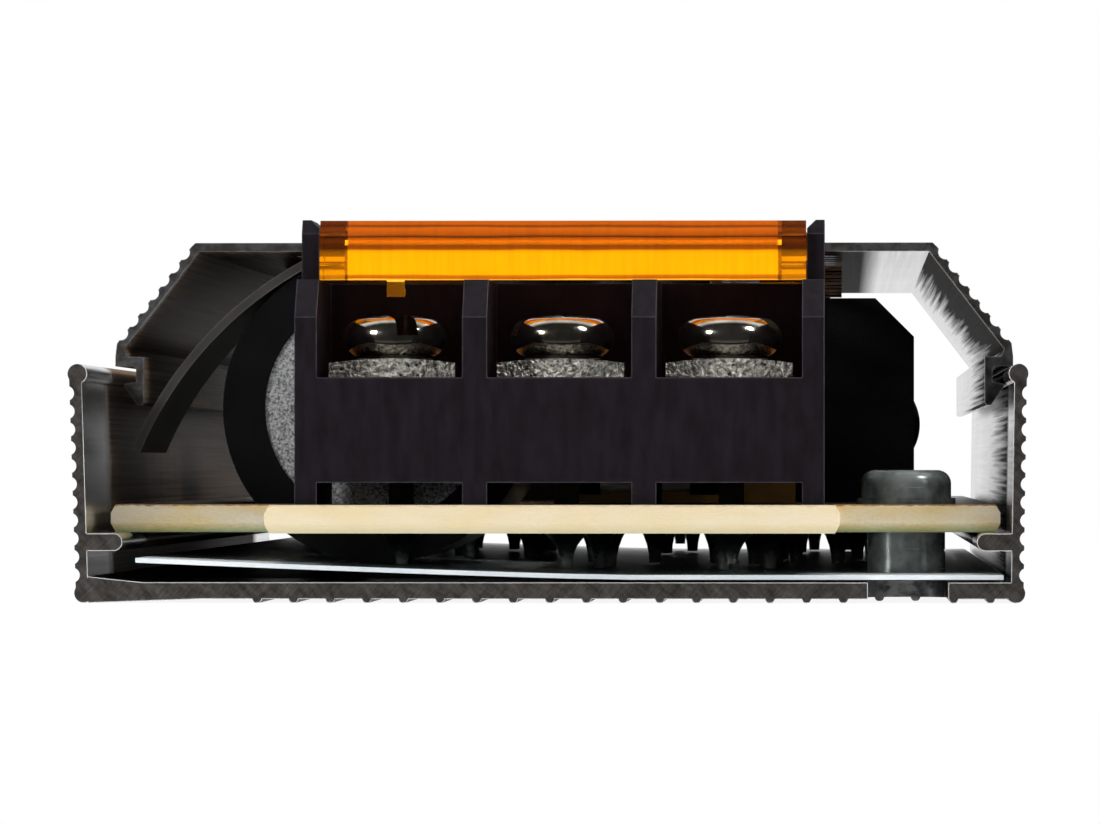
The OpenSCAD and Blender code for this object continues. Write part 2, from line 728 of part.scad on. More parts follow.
// Pan-head screw with bulging sides, a low crown, a cross and a slot; turn is the slot's angle
module terminal_screw(turn) {
    r = head_d / 2;
    side_r = head_h * 0.44;
    flat_h = 2 * side_r + 0.1;
    crown = head_h - flat_h;
    crown_r = (pow(r - side_r, 2) + crown * crown) / (2 * crown);
    cross_w = 0.8;
    cross_len = 3.4;
    translate([0, screw_y, head_z]) difference() {
        union() {
            rotate_extrude() intersection() {
                union() {
                    square([r - side_r, flat_h]);
                    square([r * 0.74, side_r]);
                    translate([r - side_r, side_r + 0.1]) circle(side_r);
                }
                square([r, head_h]);
            }
            intersection() {
                cylinder(r = r - side_r, h = head_h + 1);
                translate([0, 0, head_h - crown_r]) sphere(crown_r, $fn = 96);
            }
            translate([0, 0, -shank_len]) cylinder(d = screw_d, h = shank_len + eps);
        }
        rotate([0, 0, turn]) {
            standing_box(0, 0, head_h - slot_depth, head_d + 1, driver_slot_w, 2);
            standing_box(0, 0, head_h - slot_depth - 0.3, cross_len, cross_w, 2);
            standing_box(0, 0, head_h - slot_depth - 0.3, cross_w, cross_len, 2);
        }
    }
}

// Clear flip cover: top plate, front flange, end cheeks, hinge knuckles and pins
module flip_cover(poles, with_peg) {
    w = block_w(poles) - 2 - 2 * slide_gap;
    pin_reach = 0.9;
    top_cut = 0.9;
    module shell_outline() {
        difference() {
            polygon([[flip_front, flip_bottom], [flip_front, flip_top - top_cut],
                [flip_front + top_cut, flip_top], [pin_y, flip_top], [pin_y, flip_bottom]]);
            polygon([[flip_front + flip_t, flip_bottom - 1], [flip_front + flip_t, flip_top - flip_t - 0.3],
                [flip_front + flip_t + 0.3, flip_top - flip_t], [pin_y + 1, flip_top - flip_t],
                [pin_y + 1, flip_bottom - 1]]);
        }
    }
    module cheek_outline() {
        polygon([[flip_front, flip_bottom], [flip_front, flip_top - top_cut],
            [flip_front + top_cut, flip_top], [pin_y, flip_top], [pin_y, pin_z - knuckle_r],
            [pin_y - 1.4, pin_z - knuckle_r], [flip_front + 2.6, flip_bottom]]);
        translate([pin_y, pin_z]) circle(knuckle_r);
    }
    across_case(w) shell_outline();
    for (s = [-1, 1]) {
        translate([s * (w - cheek_t) / 2, 0, 0]) across_case(cheek_t) cheek_outline();
        translate([s * (w / 2 + (pin_reach - 1) / 2), pin_y, pin_z]) rotate([0, 90, 0])
            cylinder(d = pin_d, h = pin_reach + 1, center = true);
    }
    if (with_peg)
        standing_box(pole_x(0, poles), flip_front + flip_t / 2, flip_bottom - peg_len,
            peg_w, flip_t, peg_len + 0.5);
}

module input_block() { color([0.16, 0.15, 0.16]) at_input() terminal_block(input_poles); }
module input_cover() { color([0.95, 0.55, 0.05, 0.6]) at_input() flip_cover(input_poles, true); }
module input_plates() { color([0.78, 0.76, 0.7]) at_input() contact_plates(input_poles); }
module input_washer(i) {
    color([0.7, 0.7, 0.7]) at_input() translate([pole_x(i, input_poles), 0, 0]) clamp_washer();
}
module input_screw(i) {
    turns = [107, 20, 158];
    color([0.8, 0.8, 0.78]) at_input() translate([pole_x(i, input_poles), 0, 0]) terminal_screw(turns[i]);
}
module output_block() { color([0.16, 0.15, 0.16]) at_output() terminal_block(output_poles); }
module output_cover() { color([0.95, 0.55, 0.05, 0.6]) at_output() flip_cover(output_poles, false); }
module output_plates() { color([0.78, 0.76, 0.7]) at_output() contact_plates(output_poles); }
module output_washer(i) {
    color([0.7, 0.7, 0.7]) at_output() translate([pole_x(i, output_poles), 0, 0]) clamp_washer();
}
module output_screw(i) {
    turns = [35, 118];
    color([0.8, 0.8, 0.78]) at_output() translate([pole_x(i, output_poles), 0, 0])
        terminal_screw(turns[i]);
}

// ---------- bulk capacitor ----------

// Puts a child drawn upright from z = 0 along the capacitor's axis, starting at its near end
module at_bulk() {
    translate([bulk_x, bulk_near, bulk_z]) rotate([-90, 0, 0]) children();
}

module bulk_capacitor_can() {
    groove_r = 0.8;
    groove_at = bulk_len - 4;
    score_w = 0.35;
    color([0.75, 0.76, 0.77]) at_bulk() difference() {
        rotate_extrude() difference() {
            union() {
                translate([0, sleeve_t + 0.02]) square([can_r - 1, bulk_len - sleeve_t - 1.5]);
                translate([0, sleeve_t + 1.02]) square([can_r - 0.02, bulk_len - sleeve_t - 3]);
                translate([can_r - 1.02, sleeve_t + 1.02]) circle(1);
            }
            translate([can_r + 0.3, groove_at]) circle(groove_r);
            translate([can_r - 1.5, bulk_len - 2.5]) square([2, 3]);
            translate([-1, bulk_len - 3.2]) square([can_r - 1, 4]);
        }
        for (a = [0, 60, 120])
            rotate([0, 0, a]) standing_box(0, 0, 0, 2 * bare_r - 3, score_w, sleeve_t + 0.2);
    }
}

module bulk_capacitor_sleeve() {
    color([0.12, 0.12, 0.13]) at_bulk() rotate_extrude() difference() {
        square([bulk_r, bulk_len - 1.6]);
        translate([-1, -1]) square([bare_r + 1, bulk_len + 2]);
        translate([-1, sleeve_t]) square([can_r - 1 + 1, bulk_len + 2]);
        translate([-1, sleeve_t + 1.02]) square([can_r + 1, bulk_len + 2]);
        translate([can_r - 1, sleeve_t + 1.02]) circle(1);
    }
}

module bulk_capacitor_plug() {
    color([0.08, 0.08, 0.08]) at_bulk() difference() {
        translate([0, 0, bulk_len - 3.15]) cylinder(r = can_r - 2.1, h = 2.6);
        for (s = [-1, 1])
            translate([s * bulk_lead_x, 0, bulk_len - 4]) cylinder(d = 0.9, h = 5);
    }
}

// ---------- heat sinks and packages ----------

// Upright plate with cut top corners, drawn about its own centre line
module sink_plate(w, h) {
    along_case(sink_t) polygon([[-w / 2, 0], [w / 2, 0], [w / 2, h - sink_cut],
        [w / 2 - sink_cut, h], [-w / 2 + sink_cut, h], [-w / 2, h - sink_cut]]);
}

module primary_heat_sink() {
    color([0.08, 0.08, 0.09]) translate([sink_right - sink_w / 2, sink_y + sink_t / 2, board_top])
        sink_plate(sink_w, sink_h);
}

// Flat power package that stands against a heat sink; its metal back faces -Y
module package(x, y) {
    standing_box(x, y, board_top + package_lift, package_w, package_t, package_h);
}

module power_transistor() {
    color([0.07, 0.07, 0.07]) package(package_x, transistor_y);
}

// Spring clip over the heat sink's top edge, pressing on the package behind it
module transistor_clip() {
    finger_w = 3.6;
    wire = 0.4;
    rise = 1.9;
    rib_gap = 0.43;
    z0 = board_top + sink_h + seat_gap;
    y0 = sink_y + 0.2;
    y1 = transistor_y + package_t / 2 + seat_gap;
    color([0.85, 0.86, 0.87]) translate([clip_right - clip_w / 2, 0, 0]) {
        across_case(clip_w) {
            translate([y0, z0]) square([wire, rise]);
            translate([y0, z0 + rise - wire]) square([y1 + wire - y0, wire]);
            for (i = [0:3])
                translate([y0, z0 + 0.2 + i * rib_gap]) circle(0.14, $fn = 16);
        }
        across_case(finger_w) translate([y1, z0 - 4]) square([wire, rise + 4]);
    }
}

module output_heat_sink() {
    color([0.08, 0.08, 0.09]) translate([output_sink_x, output_sink_y + sink_t / 2, board_top])
        sink_plate(output_sink_w, sink_h);
}

module output_rectifier() {
    color([0.07, 0.07, 0.07]) package(output_sink_x, rectifier_y);
}

module bridge_rectifier() {
    cut_w = 2.4;
    color([0.07, 0.07, 0.07]) difference() {
        standing_box(bridge_x, bridge_y, board_top + bridge_lift, bridge_w, bridge_t, bridge_h);
        translate([bridge_x + bridge_w / 2, bridge_y, board_top + bridge_lift + bridge_h])
            rotate([0, 45, 0]) cube([cut_w, bridge_t + 1, cut_w], center = true);
    }
}

// ---------- wound parts ----------

module transformer_core() {
    window_w = (core_w - 3 * core_leg) / 2;
    window_h = core_h - 2 * core_leg;
    color([0.2, 0.2, 0.21]) translate([transformer_x, transformer_y, board_top + transformer_lift])
        along_case(core_depth) difference() {
            translate([-core_w / 2, 0]) square([core_w, core_h]);
            for (s = [-1, 1])
                translate([s * (core_leg / 2 + window_w / 2) - window_w / 2, core_leg])
                    square([window_w, window_h]);
        }
}

// Former round the core's middle leg: tube, two flanges and a rail for the pins at each end
module transformer_bobbin() {
    window_h = core_h - 2 * core_leg;
    flange_w = core_w - 2 * core_leg - 0.2;
    z0 = transformer_lift + core_leg + 0.05;
    color([0.1, 0.1, 0.1]) translate([transformer_x, transformer_y, board_top]) difference() {
        union() {
            standing_box(0, 0, z0, core_leg + 2 * bobbin_t, core_depth + 2 * bobbin_t, window_h - 0.1);
            standing_box(0, 0, z0, flange_w, transformer_len, bobbin_t);
            standing_box(0, 0, z0 + window_h - 0.1 - bobbin_t, flange_w, transformer_len, bobbin_t);
            for (s = [-1, 1])
                standing_box(0, s * (winding_depth - 2) / 2, seat_gap, flange_w, 3, z0);
        }
        standing_box(0, 0, -1, core_leg + 0.1, core_depth + 0.1, core_h + 2);
    }
}

// Taped winding on the former, round at both ends
module transformer_winding() {
    z0 = transformer_lift + core_leg + 0.1 + bobbin_t;
    h = core_h - 2 * core_leg - 0.2 - 2 * bobbin_t;
    color([0.85, 0.7, 0.2]) translate([transformer_x, transformer_y, board_top + z0]) difference() {
        intersection() {
            standing_box(0, 0, 0, core_w - 2 * core_leg - 0.4, winding_depth, h);
            cylinder(d = winding_depth, h = h, $fn = 64);
        }
        standing_box(0, 0, -1, core_leg + 2 * bobbin_t + 0.1, core_depth + 2 * bobbin_t + 0.1, h + 2);
    }
}

// Toroid core and its winding, upright axis, at a place on the board
module toroid_core_at(x, y) {
    translate([x, y, board_top + 1.2]) ring_solid(toroid_d, toroid_d * 0.55, toroid_h);
}

module toroid_winding_at(x, y) {
    t = toroid_wire;
    gap = 0.03;
    color([0.75, 0.4, 0.15]) translate([x, y, board_top + 1.2]) for (s = [0, 180])
        rotate([0, 0, s + 20]) rotate_extrude(angle = 140) difference() {
            translate([toroid_d * 0.275 - t, -t]) square([toroid_d * 0.225 + 2 * t, toroid_h + 2 * t]);
            translate([toroid_d * 0.275 - gap, -gap])
                square([toroid_d * 0.225 + 2 * gap, toroid_h + 2 * gap]);
        }
}

module choke_core() { color([0.25, 0.3, 0.25]) toroid_core_at(row_x, choke_y); }
module choke_winding() { toroid_winding_at(row_x, choke_y); }
module inductor_core() { color([0.8, 0.75, 0.3]) toroid_core_at(inductor_x, inductor_y); }
module inductor_winding() { toroid_winding_at(inductor_x, inductor_y); }

// ---------- capacitors and small parts ----------

module line_capacitor() {
    color([0.9, 0.75, 0.15])
        standing_box(row_x, line_cap_y, board_top + seat_gap, line_cap_w, line_cap_t, line_cap_h);
}

// Round dipped disc standing on its edge, facing along the case
module dipped_disc(x, y, d, t, lift) {
    translate([x, y, board_top + d / 2 + lift]) rotate([90, 0, 0])
        rotate_extrude() intersection() {
            union() {
                translate([0, -t / 2]) square([d / 2 - t / 2, t]);
                translate([d / 2 - t / 2, 0]) circle(t / 2);
            }
            translate([0, -t]) square([d, 2 * t]);
        }
}

module safety_capacitors() {
    color([0.15, 0.35, 0.7]) for (i = [0:1])
        dipped_disc(small_x, disc_y(i), disc_d, disc_t, disc_lift);
}

module thermistor() {
    color([0.1, 0.2, 0.15])
        dipped_disc(thermistor_x, thermistor_y, thermistor_d, thermistor_t, thermistor_lift);
}

module fuse_body() {
    color([0.85, 0.9, 0.85]) translate([fuse_x, fuse_y, board_top + fuse_d / 2 + 0.5])
        rotate([0, 90, 0]) cylinder(d = fuse_d - 0.4, h = fuse_len - 0.7, center = true);
}

module fuse_caps() {
    cap_len = 2.4;
    color([0.8, 0.8, 0.78]) translate([fuse_x, fuse_y, board_top + fuse_d / 2 + 0.5])
        for (s = [-1, 1]) translate([s * (fuse_len - cap_len) / 2, 0, 0]) difference() {
            rotate([0, 90, 0]) cylinder(d = fuse_d, h = cap_len, center = true);
            translate([-s * 0.32, 0, 0]) rotate([0, 90, 0])
                cylinder(d = fuse_d - 0.36, h = cap_len + 0.02, center = true);
        }
}

// Puts a child at each output capacitor's place on the board
module at_output_caps() {
    for (i = [0:output_cap_count - 1])
        translate([output_cap_x + i * (output_cap_d + part_gap), output_cap_y, board_top]) children();
}

module output_capacitor_cans() {
    r = output_cap_d / 2 - sleeve_t - 0.02;
    color([0.75, 0.76, 0.77]) at_output_caps() translate([0, 0, 0.4])
        difference() {
            rotate_extrude() union() {
                square([r, output_cap_h - 0.7]);
                square([r - 0.5, output_cap_h - 0.2]);
                translate([r - 0.5, output_cap_h - 0.7]) circle(0.5);
            }
            for (a = [45, 135])
                rotate([0, 0, a]) standing_box(0, 0, output_cap_h - 0.35, output_cap_d * 0.6, 0.3, 1);
        }
}

module output_capacitor_sleeves() {
    r = output_cap_d / 2;
    color([0.1, 0.12, 0.2]) at_output_caps() translate([0, 0, 0.2])
        rotate_extrude() difference() {
            square([r, output_cap_h]);
            translate([0, 0.2]) square([r - sleeve_t, output_cap_h - 0.7]);
            translate([0, 0.2]) square([r - 0.9, output_cap_h + 1]);
            translate([0, 0.2]) square([r - 0.65, output_cap_h - 0.17]);
            translate([r - 0.65, output_cap_h - 0.48]) circle(0.5);
        }
}

module trimmer_body() {
    color([0.1, 0.25, 0.6]) difference() {
        standing_box(trimmer_x, trimmer_y, board_top + seat_gap, trimmer_w, trimmer_w, 4.6);
        translate([trimmer_x, trimmer_y, board_top + trimmer_seat])
            cylinder(d = rotor_d + 2 * pin_gap, h = 4);
    }
}

module trimmer_rotor() {
    cross_w = 0.7;
    cross_z = 1.1;
    color([0.9, 0.9, 0.88]) translate([trimmer_x, trimmer_y, board_top + trimmer_seat + slide_gap])
        difference() {
            cylinder(d = rotor_d, h = 1.9);
            standing_box(0, 0, cross_z, rotor_d - 0.9, cross_w, 2);
            standing_box(0, 0, cross_z, cross_w, rotor_d - 0.9, 2);
        }
}

module indicator_led() {
    color([0.3, 0.8, 0.3]) translate([trimmer_x, led_y, board_top + seat_gap]) {
        cylinder(d = led_d + 0.8, h = 1);
        cylinder(d = led_d, h = 3.4);
        translate([0, 0, 3.4]) sphere(d = led_d);
    }
}

// Small moulded package with a pin-one notch
module chip_package(y, len) {
    difference() {
        standing_box(small_x, y, board_top + 0.7, chip_w, len, 3.2);
        translate([small_x, y - len / 2, board_top + 3.4]) cylinder(d = 1.4, h = 1);
    }
}

module optocoupler() { color([0.92, 0.92, 0.9]) chip_package(coupler_y, coupler_len); }
module control_chip() { color([0.06, 0.06, 0.06]) chip_package(chip_y, chip_len); }

module resistors() {
    body_d = 2;
    end_d = 2.5;
    end_len = 1.6;
    first_x = transformer_x - 8.5;
    color([0.35, 0.6, 0.75]) for (i = [0:3])
        translate([first_x + i * resistor_pitch, resistor_y + (i % 2) * resistor_stagger,
            board_top + end_d / 2 + 0.2]) rotate([90, 0, 0]) {
                cylinder(d = body_d, h = resistor_len - end_len, center = true);
                for (s = [-1, 1]) translate([0, 0, s * (resistor_len / 2 - end_len / 2)])
                    cylinder(d = end_d, h = end_len, center = true);
            }
}

// ---------- leads and solder ----------

// Straight lead down to the board's top
module lead(x, y, z_top, d) {
    translate([x, y, board_top]) cylinder(d = d, h = z_top - board_top, $fn = 16);
}

// Two leads of a standing disc
module disc_leads(x, y, d, lift) {
    for (s = [-1, 1])
        lead(x + s * d * 0.3, y, board_top + lift - 0.25 + d * 0.1, 0.6);
}

// Pins on both sides of a chip package
module chip_pins(y, count) {
    for (s = [-1, 1], i = [0:count - 1])
        standing_box(small_x + s * chip_pin_x, y + (i - (count - 1) / 2) * chip_pitch, board_top,
            0.3, 0.6, 2.4);
}

module component_leads() {
    color([0.8, 0.8, 0.8]) {
        for (i = [-1:1]) {
            lead(package_x + i * pin_pitch, transistor_y, board_top + package_lift, 0.8);
            lead(output_sink_x + i * pin_pitch, rectifier_y, board_top + package_lift, 0.8);
        }
        for (i = [0:3])
            lead(bridge_x + (i - 1.5) * bridge_pitch, bridge_y, board_top + bridge_lift, 0.9);
        for (s = [-1, 1]) {
            translate([bulk_x + s * bulk_lead_x, bulk_far - 3, bulk_z]) rotate([-90, 0, 0])
                cylinder(d = 0.8, h = bulk_lead_y + 0.4 - bulk_far + 3, $fn = 16);
            lead(bulk_x + s * bulk_lead_x, bulk_lead_y, bulk_z, 0.8);
        }
        for (i = [0:1])
            disc_leads(small_x, disc_y(i), disc_d, disc_lift);
        disc_leads(thermistor_x, thermistor_y, thermistor_d, thermistor_lift);
        chip_pins(chip_y, 4);
        chip_pins(coupler_y, 2);
    }
}

// Concave solder cone below the board at a place in plan
module solder_cone(x, y, base_r, h) {
    tip_r = 0.36;
    flare = base_r - tip_r;
    arc_r = (flare * flare + h * h) / (2 * flare);
    translate([x, y, ledge_top - h]) rotate_extrude() difference() {
        square([base_r, h]);
        translate([tip_r + arc_r, 0]) circle(arc_r, $fn = 96);
    }
}

module solder_joints() {
    color([0.6, 0.62, 0.6]) {
        at_input() for (i = [0:input_poles - 1])
            translate([0, 0, -board_top]) solder_cone(pole_x(i, input_poles), leg_y, joint_r, joint_h);
        at_output() for (i = [0:output_poles - 1])
            translate([0, 0, -board_top]) solder_cone(pole_x(i, output_poles), leg_y, joint_r, joint_h);
    }
}

// Solder joint of a component; its trimmed lead almost reaches the film
module small_joint(x, y) {
    solder_cone(x, y, 1, ledge_top - film_base(x) - film_t - soft_gap);
}

module component_joints() {
    end_x = 4.6;
    end_y = 3.4;
    pin_row = (winding_depth - 2) / 2;
    color([0.6, 0.62, 0.6]) {
        for (i = [-1:1]) {
            small_joint(package_x + i * pin_pitch, transistor_y);
            small_joint(output_sink_x + i * pin_pitch, rectifier_y);
            small_joint(trimmer_x + i * pin_pitch, trimmer_y);
        }
        for (i = [0:3]) {
            small_joint(bridge_x + (i - 1.5) * bridge_pitch, bridge_y);
            for (s = [-1, 1]) {
                small_joint(transformer_x + (i - 1.5) * 4.4, transformer_y + s * pin_row);
                small_joint(small_x + s * chip_pin_x, chip_y + (i - 1.5) * chip_pitch);
            }
        }
        for (s = [-1, 1]) {
            small_joint(bulk_x + s * bulk_lead_x, bulk_lead_y);
            small_joint(fuse_x + s * end_x, fuse_y);
            small_joint(row_x + s * (line_cap_w / 2 - 1.5), line_cap_y);
            small_joint(row_x + s * end_x, choke_y + s * end_y);
            small_joint(thermistor_x + s * thermistor_d * 0.3, thermistor_y);
            small_joint(inductor_x + s * end_x, inductor_y + s * end_y);
            for (i = [0:1]) {
                small_joint(small_x + s * disc_d * 0.3, disc_y(i));
                small_joint(small_x + s * chip_pin_x, coupler_y + (i - 0.5) * chip_pitch);
            }
            for (i = [0:output_cap_count - 1])
                small_joint(output_cap_x + i * (output_cap_d + part_gap) + s * output_cap_d / 4,
                    output_cap_y);
        }
    }
}

case_tray();
case_cover();
insulating_film();
circuit_board();
board_spacers();
board_screws();
inner_shield();
input_block();
input_cover();
input_plates();
input_washer(0);  // input_washer_1
input_washer(1);  // input_washer_2
input_washer(2);  // input_washer_3
input_screw(0);  // input_screw_1
input_screw(1);  // input_screw_2
input_screw(2);  // input_screw_3
output_block();
output_cover();
output_plates();
output_washer(0);  // output_washer_1
output_washer(1);  // output_washer_2
output_screw(0);  // output_screw_1
output_screw(1);  // output_screw_2
bulk_capacitor_can();
bulk_capacitor_sleeve();
bulk_capacitor_plug();
primary_heat_sink();
power_transistor();
transistor_clip();
transformer_core();
transformer_bobbin();
transformer_winding();
choke_core();
choke_winding();
line_capacitor();
safety_capacitors();
fuse_body();
fuse_caps();
thermistor();
bridge_rectifier();
output_heat_sink();
output_rectifier();
output_capacitor_cans();
output_capacitor_sleeves();
inductor_core();
inductor_winding();
trimmer_body();
trimmer_rotor();
indicator_led();
optocoupler();
control_chip();
resistors();
component_leads();
solder_joints();
component_joints();
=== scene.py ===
# %% [markdown]
# # Dressing a slim switching power supply
#
# The object turns mains voltage into a low one for lamps and small machines. Its case is two
# aluminium extrusions: a ribbed tray and a vented cover that snaps in. Both ends are open, and a
# black terminal block with a clear amber flip cover stands in each. Between them lies the board.
#
# The frame gives every rigid piece in its place. This lesson gives each piece the finish of its
# real material, remakes the few pieces that need more than a solid, and sets up the studio.

# %% Load the frame
import math

import bmesh
import bpy
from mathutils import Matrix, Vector


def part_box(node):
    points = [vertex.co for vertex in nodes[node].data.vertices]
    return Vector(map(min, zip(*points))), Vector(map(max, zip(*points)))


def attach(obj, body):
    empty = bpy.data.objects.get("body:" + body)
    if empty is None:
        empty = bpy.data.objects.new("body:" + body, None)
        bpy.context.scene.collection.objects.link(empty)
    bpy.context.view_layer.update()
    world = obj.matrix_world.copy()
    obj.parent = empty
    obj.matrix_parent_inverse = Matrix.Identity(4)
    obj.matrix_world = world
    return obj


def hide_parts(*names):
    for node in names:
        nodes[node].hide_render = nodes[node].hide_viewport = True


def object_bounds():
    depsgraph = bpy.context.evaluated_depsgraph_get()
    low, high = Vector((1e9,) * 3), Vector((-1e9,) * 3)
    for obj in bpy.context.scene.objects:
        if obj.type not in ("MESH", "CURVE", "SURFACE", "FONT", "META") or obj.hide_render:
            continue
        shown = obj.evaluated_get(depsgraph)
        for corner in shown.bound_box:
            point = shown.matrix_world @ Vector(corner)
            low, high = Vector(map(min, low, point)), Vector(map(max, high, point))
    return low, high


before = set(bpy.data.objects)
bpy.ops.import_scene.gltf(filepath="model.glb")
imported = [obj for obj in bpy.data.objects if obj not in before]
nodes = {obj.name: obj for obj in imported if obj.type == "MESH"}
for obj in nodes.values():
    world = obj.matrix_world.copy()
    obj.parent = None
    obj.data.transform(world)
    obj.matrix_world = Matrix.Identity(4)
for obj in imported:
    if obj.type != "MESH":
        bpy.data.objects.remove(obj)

MM = 0.001
cad_low, cad_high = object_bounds()
print(len(nodes), "pieces in the frame,", [round(v / MM, 1) for v in cad_high - cad_low], "mm")

# %% [markdown]
# ## The camera
#
# The view is level with the board, half a metre in front of the input end and a little to the
# right. A long lens keeps the walls nearly parallel. A yaw aims it, so no lens shift is needed.

# %% Camera
NEAR_FACE = cad_low.y
camera_place = Vector((16.3 * MM, NEAR_FACE - 500 * MM, 7.73 * MM))
camera_aim = Vector((0.06 * MM, NEAR_FACE, 10.7 * MM))
VIEW_WIDTH = 61.62 * MM
SENSOR_WIDTH = 36

lens_data = bpy.data.cameras.new("bench_camera")
lens_data.sensor_width = SENSOR_WIDTH
lens_data.lens = SENSOR_WIDTH * (camera_aim - camera_place).length / VIEW_WIDTH
lens_data.clip_start = 10 * MM
bench_camera = bpy.data.objects.new("bench_camera", lens_data)
bench_camera.location = camera_place
bench_camera.rotation_mode = "QUATERNION"
bench_camera.rotation_quaternion = (camera_aim - camera_place).to_track_quat("-Z", "Y")
bpy.context.scene.collection.objects.link(bench_camera)
bpy.context.scene.camera = bench_camera
bpy.context.scene.view_settings.view_transform = "Standard"
print("lens", round(lens_data.lens), "mm")

# %% [markdown]
# ## Colours and nodes
#
# Colours are picked as sRGB hex codes, as on a paint card, but the renderer counts light, so one
# function turns them to linear. Another adds a node: its own choices come as keywords, and each
# of its sockets takes a value, another node, or one output of another node.

# %% Colour and node helpers
def paint(code, *shade):
    """Linear colour of an sRGB hex code, times one factor, or one each for red, green and blue."""
    parts = [int(code[i:i + 2], 16) / 255 for i in (1, 3, 5)]
    linear = [p / 12.92 if p <= 0.04045 else ((p + 0.055) / 1.055) ** 2.4 for p in parts]
    factors = shade if len(shade) == 3 else (shade or (1.0,)) * 3
    return (*[p * f for p, f in zip(linear, factors)], 1)


def grey(level):
    """A neutral colour, or a stop for a ramp that drives a number."""
    return (level, level, level, 1)


def feed(tree, node, feeds):
    """Fills sockets of a node. Another node gives its first output that is in use."""
    for key, value in feeds.items():
        if isinstance(value, bpy.types.Node):
            value = next(s for s in value.outputs if s.enabled)
        if isinstance(value, bpy.types.NodeSocket):
            tree.links.new(value, node.inputs[key])
        else:
            node.inputs[key].default_value = value


def add(tree, kind, feeds=None, stops=(), **choices):
    """Adds one node. Feeds fill its sockets, stops fill a colour ramp, choices are its own settings."""
    node = tree.nodes.new("ShaderNode" + kind)
    for name, value in choices.items():
        setattr(node, name, value)
    feed(tree, node, feeds or {})
    for i, (position, colour) in enumerate(stops):
        marks = node.color_ramp.elements
        mark = marks[i] if i < 2 else marks.new(position)
        mark.position, mark.color = position, colour
    return node


# The Mix node has one set of sockets for each kind of value; these are the colour ones.
MIX_A, MIX_B = 6, 7
print("a grey of #808080 is", round(paint("#808080")[0], 3), "of white in light")

# %% [markdown]
# ## How a finish starts
#
# Each finish is one Principled shader, laid out by the place on the piece, in metres from the
# frame's origin, so a pattern keeps its real size and moves with its piece. Nearly every pattern
# starts from noise, stretched to the size of what it stands for.

# %% Finish helpers
def finish(name):
    """Starts a finish: its material, its node tree, its shader and the place on the piece."""
    material = bpy.data.materials.new(name)
    material.use_nodes = True
    tree = material.node_tree
    tree.nodes.clear()
    shader = add(tree, "BsdfPrincipled")
    add(tree, "OutputMaterial", {"Surface": shader})
    return material, tree, shader, add(tree, "TexCoord").outputs["Object"]


def grain(tree, place, size_mm, turn_deg=(0, 0, 0), detail=2.0, roughness=0.5):
    """Noise whose blotches are size_mm wide, long and high, turned by turn_deg."""
    laid = add(tree, "Mapping", {
        "Vector": place,
        "Rotation": [math.radians(a) for a in turn_deg],
        "Scale": [s * MM for s in size_mm],
    }, vector_type="TEXTURE")
    return add(tree, "TexNoise", {"Vector": laid, "Scale": 1.0, "Detail": detail,
                                  "Roughness": roughness})


def wear(material, *names):
    """Gives a finish to the frame's pieces of these names."""
    for name in names:
        nodes[name].data.materials.clear()
        nodes[name].data.materials.append(material)
    print(material.name, "on", ", ".join(names))


def facing(tree, axis, low, high):
    """1 where the surface faces along an axis, to either side, and 0 where it lies along it."""
    normal = add(tree, "NewGeometry").outputs["Normal"]
    part = add(tree, "SeparateXYZ", {"Vector": normal}).outputs[axis]
    size = add(tree, "Math", {0: part}, operation="ABSOLUTE")
    return add(tree, "MapRange", {"Value": size, "From Min": low, "From Max": high})


def edge_mask(tree, radius_mm):
    """0 on flats, rising to 1 on sharp outer edges, where a rounded normal leaves the true one."""
    soft = add(tree, "Bevel", {"Radius": radius_mm * MM}, samples=4)
    hard = add(tree, "NewGeometry").outputs["Normal"]
    match = add(tree, "VectorMath", {0: soft, 1: hard}, operation="DOT_PRODUCT")
    return add(tree, "MapRange", {"Value": match, "From Min": 0.99, "From Max": 0.85})


print("a finish starts from a shader and the place; patterns are sized in mm")

# %% [markdown]
# ## The case: mill-finish aluminium extrusion, sawn to length
#
# Hot aluminium is pushed through a steel die, which leaves hair lines along the whole length and
# a soft gloss. The saw then cuts across: the ends are duller, with slanting scratches and smears.
# One finish holds both, and the surface's direction chooses: faces across the case are cut ones.
#
# What lies on the metal depends on the place. Inside, from about where the cover begins, painted
# shade lies on the walls as a brown film: it covers the capacitor's side and the middle of the
# ceiling, and on the other side it is darker, in streaks that end deeper in. The painted shade
# also takes the mirror away, so it makes the surface less metallic. The finish is made in three
# steps: where the painted shade lies, the sawn end, and the whole.

# %% Where the painted shade lies
# All in millimetres: how far in from either end the painted shade begins, and where across the
# case it turns paler.
SHADE_BEGINS = 14, 19
SHADE_EASES = 4, -10
CEILING_SHADE_ENDS = 18.8, 17.6
# How far along the case its streaks reach, on the slope and on the wall, how far they stray from
# that, and how softly they end.
SLOPE_STREAKS_END, WALL_STREAKS_END = 8, -40
STREAKS_STRAY = 30
STREAKS_FADE = -30, 25


